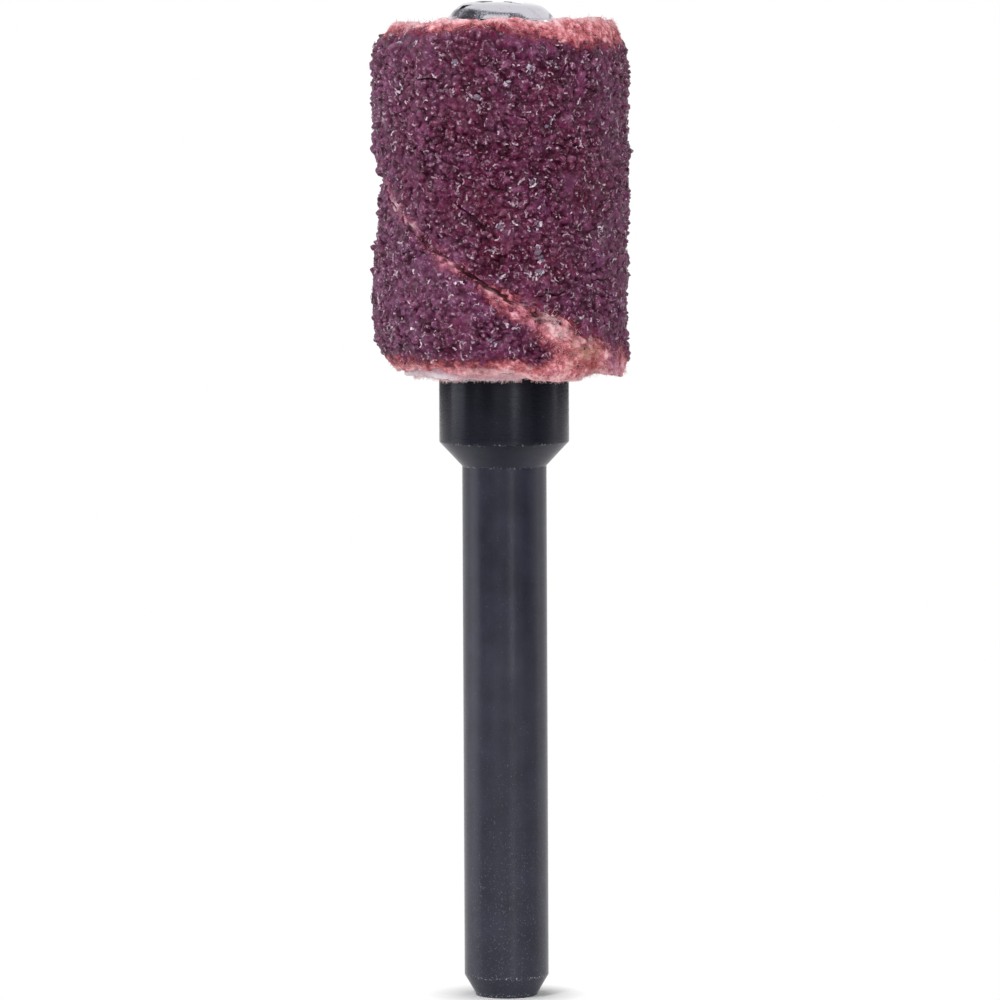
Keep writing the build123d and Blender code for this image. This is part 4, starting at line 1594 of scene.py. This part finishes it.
class SANDING_OT_slivers(bpy.types.Operator):
    """Lays thin curved pale slivers along the grains' edges as painted highlights"""

    bl_idname = "sanding.slivers"
    bl_label = "Slivers"

    SEED = 43
    ON_BROWS, STREWN, AT_EACH_SPOT = 4200, 2600, 4

    # Bend and thickness of each form, the first two for chips and the others for the grains' brows
    FORMS = ((0.08, 0.42), (0.25, 0.34), (0.3, 0.18), (0.5, 0.15), (0.72, 0.13))
    CHIP_FORMS, BROW_FORMS = [0, 1], [2, 3, 4]
    CHIP_LENGTHS, BROW_LENGTHS = (0.06, 0.15), (0.09, 0.31)

    def outlines(self, coat, rng, count):
        """Places along the brows of grains, some grains having many, with the way uphill at each."""
        grain = np.nonzero(coat.kept & (coat.inside > 0.02))[0]
        spots = coat.winding.flat(coat.x[grain] / coat.winding.mean_radius, coat.z[grain])
        strewn = layered_noise(spots, 1.1, 65, 2)
        share = rng.lognormal(0, 1.0, len(grain)) * np.exp(1.1 * strewn)
        grain = rng.choice(grain, count, p=share / share.sum())
        turn = rng.uniform(0, TURN, count)
        across = np.stack([np.cos(turn), np.sin(turn)], axis=1)
        spot = np.stack([coat.x[grain], coat.z[grain]], axis=1)
        spot += across * (coat.radius[grain] * rng.uniform(0.5, 0.95, count))[:, None]
        return spot[:, 0] / coat.winding.mean_radius, spot[:, 1], -across

    def chips(self, coat, rng, tries):
        """Places strewn in patches over the coat, each with a random way."""
        wound = coat.winding
        angle = rng.uniform(0, TURN, tries)
        height = rng.uniform(wound.low + 0.35, wound.high - 0.35, tries)
        strewn = 0.5 + 0.5 * layered_noise(wound.flat(angle, height), 0.8, 61, 2)
        kept = rng.uniform(size=tries) < strewn
        angle, height = angle[kept], height[kept]
        spots = np.repeat(np.array(SANDING_OT_crystals.CLEAR_SPOTS), self.AT_EACH_SPOT, axis=0)
        spots = spots + rng.normal(0, 1, spots.shape) * (0.9, 0.09)
        angle = np.concatenate([angle, np.radians(spots[:, 0])])
        height = np.concatenate([height, spots[:, 1]])
        turn = rng.uniform(0, TURN, len(angle))
        return angle, height, np.stack([np.cos(turn), np.sin(turn)], axis=1), len(spots)

    def execute(self, context):
        wound, coat = winding(), grains()
        rng = np.random.default_rng(self.SEED)
        prototypes = [
            curl("sliver", bend, twist=0, steps=3, taper=0.8, thick=thick) for bend, thick in self.FORMS
        ]
        brows = self.outlines(coat, rng, self.ON_BROWS)
        *chips, last = self.chips(coat, rng, self.STREWN)
        angle, height, uphill = (np.concatenate(pair) for pair in zip(brows, chips))
        brow = np.arange(len(angle)) < self.ON_BROWS
        spot = np.arange(len(angle)) >= len(angle) - last
        kept = (wound.cover(angle, height) > 0.03) & (coat.read(coat.cavity, angle, height) < 0.72)
        angle, height, uphill, brow, spot = angle[kept], height[kept], uphill[kept], brow[kept], spot[kept]
        count = len(angle)
        places = wound.place(angle, height, coat.read(coat.relief, angle, height) + 0.006)
        out, east, north = wound.bearings(angle, height)
        side = unit(uphill[:, :1] * east + uphill[:, 1:] * north + 0.12 * rng.normal(0, 1, (count, 3)))
        aim = unit(np.cross(side, out) * rng.choice([-1, 1], count)[:, None])
        turns = np.stack([side, np.cross(aim, side), aim], axis=2)
        tone = np.where(spot, rng.uniform(0.4, 1, count), rng.beta(1.25, 1.65, count))
        clear = np.where(spot, 0.8, 0.7 * (rng.uniform(size=count) < 0.05))
        kinds = np.where(brow, rng.choice(self.BROW_FORMS, count), rng.choice(self.CHIP_FORMS, count))
        reach = np.where(brow, rng.uniform(*self.BROW_LENGTHS, count), rng.uniform(*self.CHIP_LENGTHS, count))
        reach = reach * (0.75 + 0.5 * tone) * np.where(spot, 1.25, 1)
        scales = reach[:, None] * np.array([1, 0.6, 1])
        places = places - aim * reach[:, None] / 2
        piece, owner = scatter("slivers", prototypes, places, turns, scales, kinds)
        store(piece, tone=tone[owner], clear=clear[owner])
        smooth(piece, 50)
        finish(piece, "glint_slivers", painted_glint_resin(context.scene.finish_colours), "mandrel")
        return {"FINISHED"}


class SANDING_OT_fray(bpy.types.Operator):
    """Draws loose fibres out of the rims, the seam and the worn patch"""

    bl_idname = "sanding.fray"
    bl_label = "Frayed fibres"

    SEED = 37

    # Where a group of fibres grows, how many, the longest in millimetres, and how pale they are
    GROUPS = (
        ("top", 2700, 0.21, 0.6), ("low", 1200, 0.16, 0.5), ("seam", 1900, 0.21, 0.46),
        ("patch", 1700, 0.2, 0.5), ("tuft", 300, 0.22, 0.84), ("fringe", 620, 0.15, 0.8),
        ("paper", 850, 0.18, 0.95), ("crest", 60, 0.46, 0.85),
    )

    # Bend and twist of each form
    FORMS = ((0.2, 0.3), (0.4, 0.2), (0.6, 0.5), (0.85, 0.3))

    def sow(self, wound, rng, where, count):
        """Angles and heights for one group of fibres."""
        if where == "top":
            return rng.uniform(-math.pi, math.pi, count), wound.high - np.abs(rng.normal(0, 0.36, count))
        if where == "low":
            return rng.uniform(-math.pi, math.pi, count), wound.low + np.abs(rng.normal(0, 0.26, count))
        if where == "seam":
            level = rng.uniform(wound.low, wound.high, count)
            side = rng.choice([-1, 1], count) * (0.1 + np.abs(rng.normal(0, 0.24, count))) / wound.across
            return wound.seam_angle(level) + side / wound.mean_radius, level
        if where == "patch":
            return np.radians(rng.uniform(14, 70, count)), rng.uniform(wound.low, 25.5, count)
        if where in ("tuft", "crest"):
            part = rng.uniform(0, 1, count)
            start, spread = (26.1, 0.13) if where == "tuft" else (26.12, 0.08)
            return np.radians(18.5 + 9.5 * part), start - 0.86 * part + rng.normal(0, spread, count)
        if where == "fringe":
            angle = np.radians(rng.uniform(-22, 48, count))
            return angle, wound.low - 0.02 + np.abs(rng.normal(0, 0.06, count))
        degrees = rng.uniform(-64, 9, count)
        return np.radians(degrees), self.liner_low + along(degrees, SANDING_OT_liner.LOW_EDGE)

    def execute(self, context):
        wound = winding()
        sizes = context.scene.band_sizes
        self.liner_low = sizes.liner_low / MM + 0.02
        rng = np.random.default_rng(self.SEED)
        prototypes = [
            curl("fibre", bend, twist, steps=2, taper=0.7, thick=0.05) for bend, twist in self.FORMS
        ]
        prototypes.append(curl("long_fibre", 0.3, 0.4, steps=2, taper=0.8, thick=0.013))
        sown = []
        for number, (where, count, longest, paleness) in enumerate(self.GROUPS):
            spot, level = self.sow(wound, rng, where, count)
            bare = (wound.cover(spot, level) < 0.05) | (where in ("crest", "paper"))
            bare = bare & (wound.blots(spot, level, wound.HOLES) < 0.35)
            count = bare.sum()
            reach = rng.uniform(0.3 * longest, longest, count)
            sown.append((spot[bare], level[bare], reach, np.full(count, number), np.full(count, paleness)))
        angle, height, reach, group, pale = (np.concatenate(rows) for rows in zip(*sown))
        count = len(angle)
        names = [name for name, *_ in self.GROUPS]
        face = np.where(group == names.index("paper"), sizes.liner_face / MM - 0.04, wound.face)
        places = wound.place(angle, height, 0.01 + 0.03 * rng.uniform(size=count), face)
        out, east, north = wound.bearings(angle, height)
        wander = rng.normal(0, 1, (count, 3))
        wander -= 0.75 * out * np.sum(wander * out, axis=1)[:, None]
        aim = 0.35 * out * rng.uniform(-0.1, 1, count)[:, None] + unit(wander)
        hanging = ((group == names.index("fringe")) | (group == names.index("paper")))[:, None]
        crest = (group == names.index("crest"))[:, None]
        aim = aim - hanging * 0.55 * north
        aim = unit(aim + crest * (0.5 * out + 0.9 * north + east * rng.uniform(-0.6, 1.2, (count, 1))))
        side = unit(np.cross(aim, rng.normal(0, 1, (count, 3))))
        turns = np.stack([side, np.cross(aim, side), aim], axis=2)
        scales = np.stack([reach, reach, reach], axis=1)
        kinds = np.where(crest[:, 0], len(self.FORMS), rng.integers(0, len(self.FORMS), count))
        piece, owner = scatter("fibres", prototypes, places, turns, scales, kinds)
        tone = np.clip(rng.normal(pale, 0.24, count), 0, 1)
        store(piece, tone=tone[owner], mauve=wound.stained(angle, height)[owner])
        for tint in ("rust", "olive"):
            store(piece, **{tint: wound.blots(angle, height, wound.TINTS[tint])[owner]})
        smooth(piece, 80)
        finish(piece, "frayed_fibres", frayed_fibre(context.scene.finish_colours), "mandrel")
        return {"FINISHED"}


class SANDING_OT_stage(bpy.types.Operator):
    """Sets the floor, the lights, the white surround and the camera"""

    bl_idname = "sanding.stage"
    bl_label = "Stage"

    CAMERA_PLACE = (0, -0.285, 0.042)
    CAMERA_TARGET = (-0.00016968, 0, 0.01876039)
    CAMERA_ROLL = -0.00468148
    LENS = 273.594
    LAMP_TARGET = (0, 0, 0.024)
    CARD_TARGET = (0, 0, 0.03)
    SHADOW_KEPT = (1.5 * MM, 3.0 * MM)
    SKY_LIGHT = 0.3

    # Name, azimuth and elevation in degrees, distance, size, power and sometimes a tint
    LAMPS = (
        ("key", -30, 42, 0.4, (0.09, 0.09), 0.74),
        ("second", 46, 34, 0.45, (0.05, 0.05), 0.28),
        ("left_wall", -98, 8, 0.4, (0.34, 0.4), 1.25, (0.95, 0.96, 1.0)),
        ("front_strip", 19, 9, 0.5, (0.08, 0.4), 0.6),
        ("front_fill", 8, 6, 0.55, (0.56, 0.2), 0.55),
        ("right_wall", 112, 12, 0.45, (0.25, 0.4), 0.32),
    )

    # Name, azimuth and elevation in degrees, distance, size, and whether it lies level and how much it glows
    CARDS = (
        ("camera_side", 0, 24, 0.62, (1.15, 0.95)),
        ("left_side", -88, 22, 0.62, (0.85, 0.95), False, 0.1),
        ("right_side", 74, 14, 0.62, (0.64, 0.8)),
        ("top_front", 0, 66, 0.62, (1.2, 0.16)),
        ("under_band", 0, -32, 0.033, (0.1, 0.048), True),
        ("back_left", -157, 29, 0.42, (0.11, 0.1)),
        ("left_ring", -135, 0, 0.1, (0.11, 0.03)),
        ("right_ring", 135, 0, 0.1, (0.11, 0.03)),
        ("low_card", 57, 4, 0.17, (0.05, 0.12)),
    )

    def floor(self):
        """A pale floor that keeps the shadow at the foot and fades to white further out."""
        clear_selection()
        bpy.ops.mesh.primitive_plane_add(size=3, location=(0, 0, 0))
        floor = bpy.context.object
        look = Finish("pale_floor")
        away = look.node("ShaderNodeVectorMath", {0: look.places()}, operation="LENGTH").outputs["Value"]
        direct = seen_directly(look.tree)
        far = look.between(away, *self.SHADOW_KEPT)
        white = look.node("ShaderNodeEmission", {"Color": (1, 1, 1, 1), "Strength": 1.0}).outputs[0]
        look.set(Base_Color=(0.86, 0.86, 0.86, 1), Roughness=0.9)
        mixed = look.node("ShaderNodeMixShader", {0: look.times(direct, far)})
        look.put(mixed.inputs[1], look.shader.outputs[0])
        look.put(mixed.inputs[2], white)
        look.put(look.tree.nodes["Material Output"].inputs["Surface"], mixed.outputs[0])
        floor.name = "floor"
        floor.data.materials.append(look.material)

    @staticmethod
    def spot(azimuth, elevation, distance, middle):
        """A place round the band. Azimuth goes from the camera's side towards the right."""
        turn, tilt = math.radians(azimuth), math.radians(elevation)
        away = (math.sin(turn) * math.cos(tilt), -math.cos(turn) * math.cos(tilt), math.sin(tilt))
        return middle + distance * Vector(away)

    def lamp(self, name, azimuth, elevation, distance, size, power, tint=(1, 1, 1)):
        """A soft lamp that faces the band."""
        middle = Vector(self.LAMP_TARGET)
        place = self.spot(azimuth, elevation, distance, middle)
        aim = (middle - place).to_track_quat("-Z", "Y").to_euler()
        bpy.ops.object.light_add(type="AREA", location=place, rotation=aim)
        lamp = bpy.context.object
        lamp.name = name
        lamp.data.shape = "RECTANGLE"
        lamp.data.size, lamp.data.size_y = size
        lamp.data.energy = power
        lamp.data.color = tint

    def card(self, name, azimuth, elevation, distance, size, level=False, glow=0.0):
        """A dark card that shows only in reflections, facing the band or lying level."""
        middle = Vector(self.CARD_TARGET)
        place = self.spot(azimuth, elevation, distance, middle)
        aim = (0, 0, 0) if level else (middle - place).to_track_quat("Z", "Y").to_euler()
        bpy.ops.mesh.primitive_plane_add(size=1, location=place, rotation=aim)
        card = bpy.context.object
        card.name = name
        card.scale = (size[0], size[1], 1)
        bpy.ops.object.transform_apply(location=True, rotation=True, scale=True)
        look = Finish(name)
        look.set(Base_Color=(0.01, 0.01, 0.012, 1), Roughness=0.9, Emission_Strength=glow)
        card.data.materials.append(look.material)
        card.visible_camera = card.visible_diffuse = card.visible_shadow = card.visible_transmission = False

    def surround(self):
        """A white surround, dimmer where it only lights the object."""
        world = bpy.data.worlds.new("surround")
        bpy.context.scene.world = world
        world.use_nodes = True
        tree = world.node_tree
        back = tree.nodes["Background"]
        strength = tree.nodes.new("ShaderNodeMapRange")
        strength.inputs["To Min"].default_value = self.SKY_LIGHT
        strength.inputs["To Max"].default_value = 1.0
        tree.links.new(seen_directly(tree), strength.inputs["Value"])
        tree.links.new(strength.outputs[0], back.inputs["Strength"])
        back.inputs["Color"].default_value = (1, 1, 1, 1)

    def camera(self):
        """The photograph's view: slightly above the band, with the long lens."""
        place = Vector(self.CAMERA_PLACE)
        forward = (Vector(self.CAMERA_TARGET) - place).normalized()
        right = forward.cross(Vector((0, 0, 1))).normalized()
        up = right.cross(forward)
        leaned_right = right * math.cos(self.CAMERA_ROLL) + up * math.sin(self.CAMERA_ROLL)
        leaned_up = up * math.cos(self.CAMERA_ROLL) - right * math.sin(self.CAMERA_ROLL)
        turn = Matrix((leaned_right, leaned_up, -forward)).transposed()
        bpy.ops.object.camera_add(location=place, rotation=turn.to_euler())
        camera = bpy.context.object
        camera.data.sensor_width = 36
        camera.data.lens = self.LENS
        camera.data.clip_start = 0.01
        bpy.context.scene.camera = camera

    def execute(self, context):
        clear_selection()
        self.floor()
        self.surround()
        for lamp in self.LAMPS:
            self.lamp(*lamp)
        for card in self.CARDS:
            self.card(*card)
        self.camera()
        context.scene.view_settings.view_transform = "Standard"
        return {"FINISHED"}


class SANDING_PT_panel(bpy.types.Panel):
    """Lists the pieces of the sanding band"""

    bl_label = "Sanding band"
    bl_idname = "SANDING_PT_panel"
    bl_space_type = "VIEW_3D"
    bl_region_type = "UI"
    bl_category = "Sanding band"

    def draw(self, context):
        for group in (context.scene.mandrel_sizes, context.scene.band_sizes, context.scene.finish_colours):
            box = self.layout.box()
            for name in group.bl_rna.properties.keys():
                if name not in ("rna_type", "name"):
                    box.prop(group, name)
        for operator in OPERATORS:
            self.layout.operator(operator.bl_idname)


OPERATORS = (
    SANDING_OT_mandrel, SANDING_OT_drum, SANDING_OT_washer, SANDING_OT_screw, SANDING_OT_liner,
    SANDING_OT_cloth, SANDING_OT_grit, SANDING_OT_crystals, SANDING_OT_slivers, SANDING_OT_fray,
    SANDING_OT_stage,
)
CLASSES = (MandrelSizes, BandSizes, Colours) + OPERATORS + (SANDING_PT_panel,)


def register():
    """Registers the classes and hangs the settings on the scene."""
    for each in CLASSES:
        bpy.utils.register_class(each)
    bpy.types.Scene.mandrel_sizes = PointerProperty(type=MandrelSizes)
    bpy.types.Scene.band_sizes = PointerProperty(type=BandSizes)
    bpy.types.Scene.finish_colours = PointerProperty(type=Colours)


def unregister():
    """Takes the settings and the classes away again."""
    for name in ("mandrel_sizes", "band_sizes", "finish_colours"):
        delattr(bpy.types.Scene, name)
    for each in reversed(CLASSES):
        bpy.utils.unregister_class(each)


def main():
    """Registers the classes and makes every piece in order."""
    register()
    for operator in OPERATORS:
        getattr(bpy.ops.sanding, operator.bl_idname.split(".")[1])()


if __name__ == "__main__":
    main()
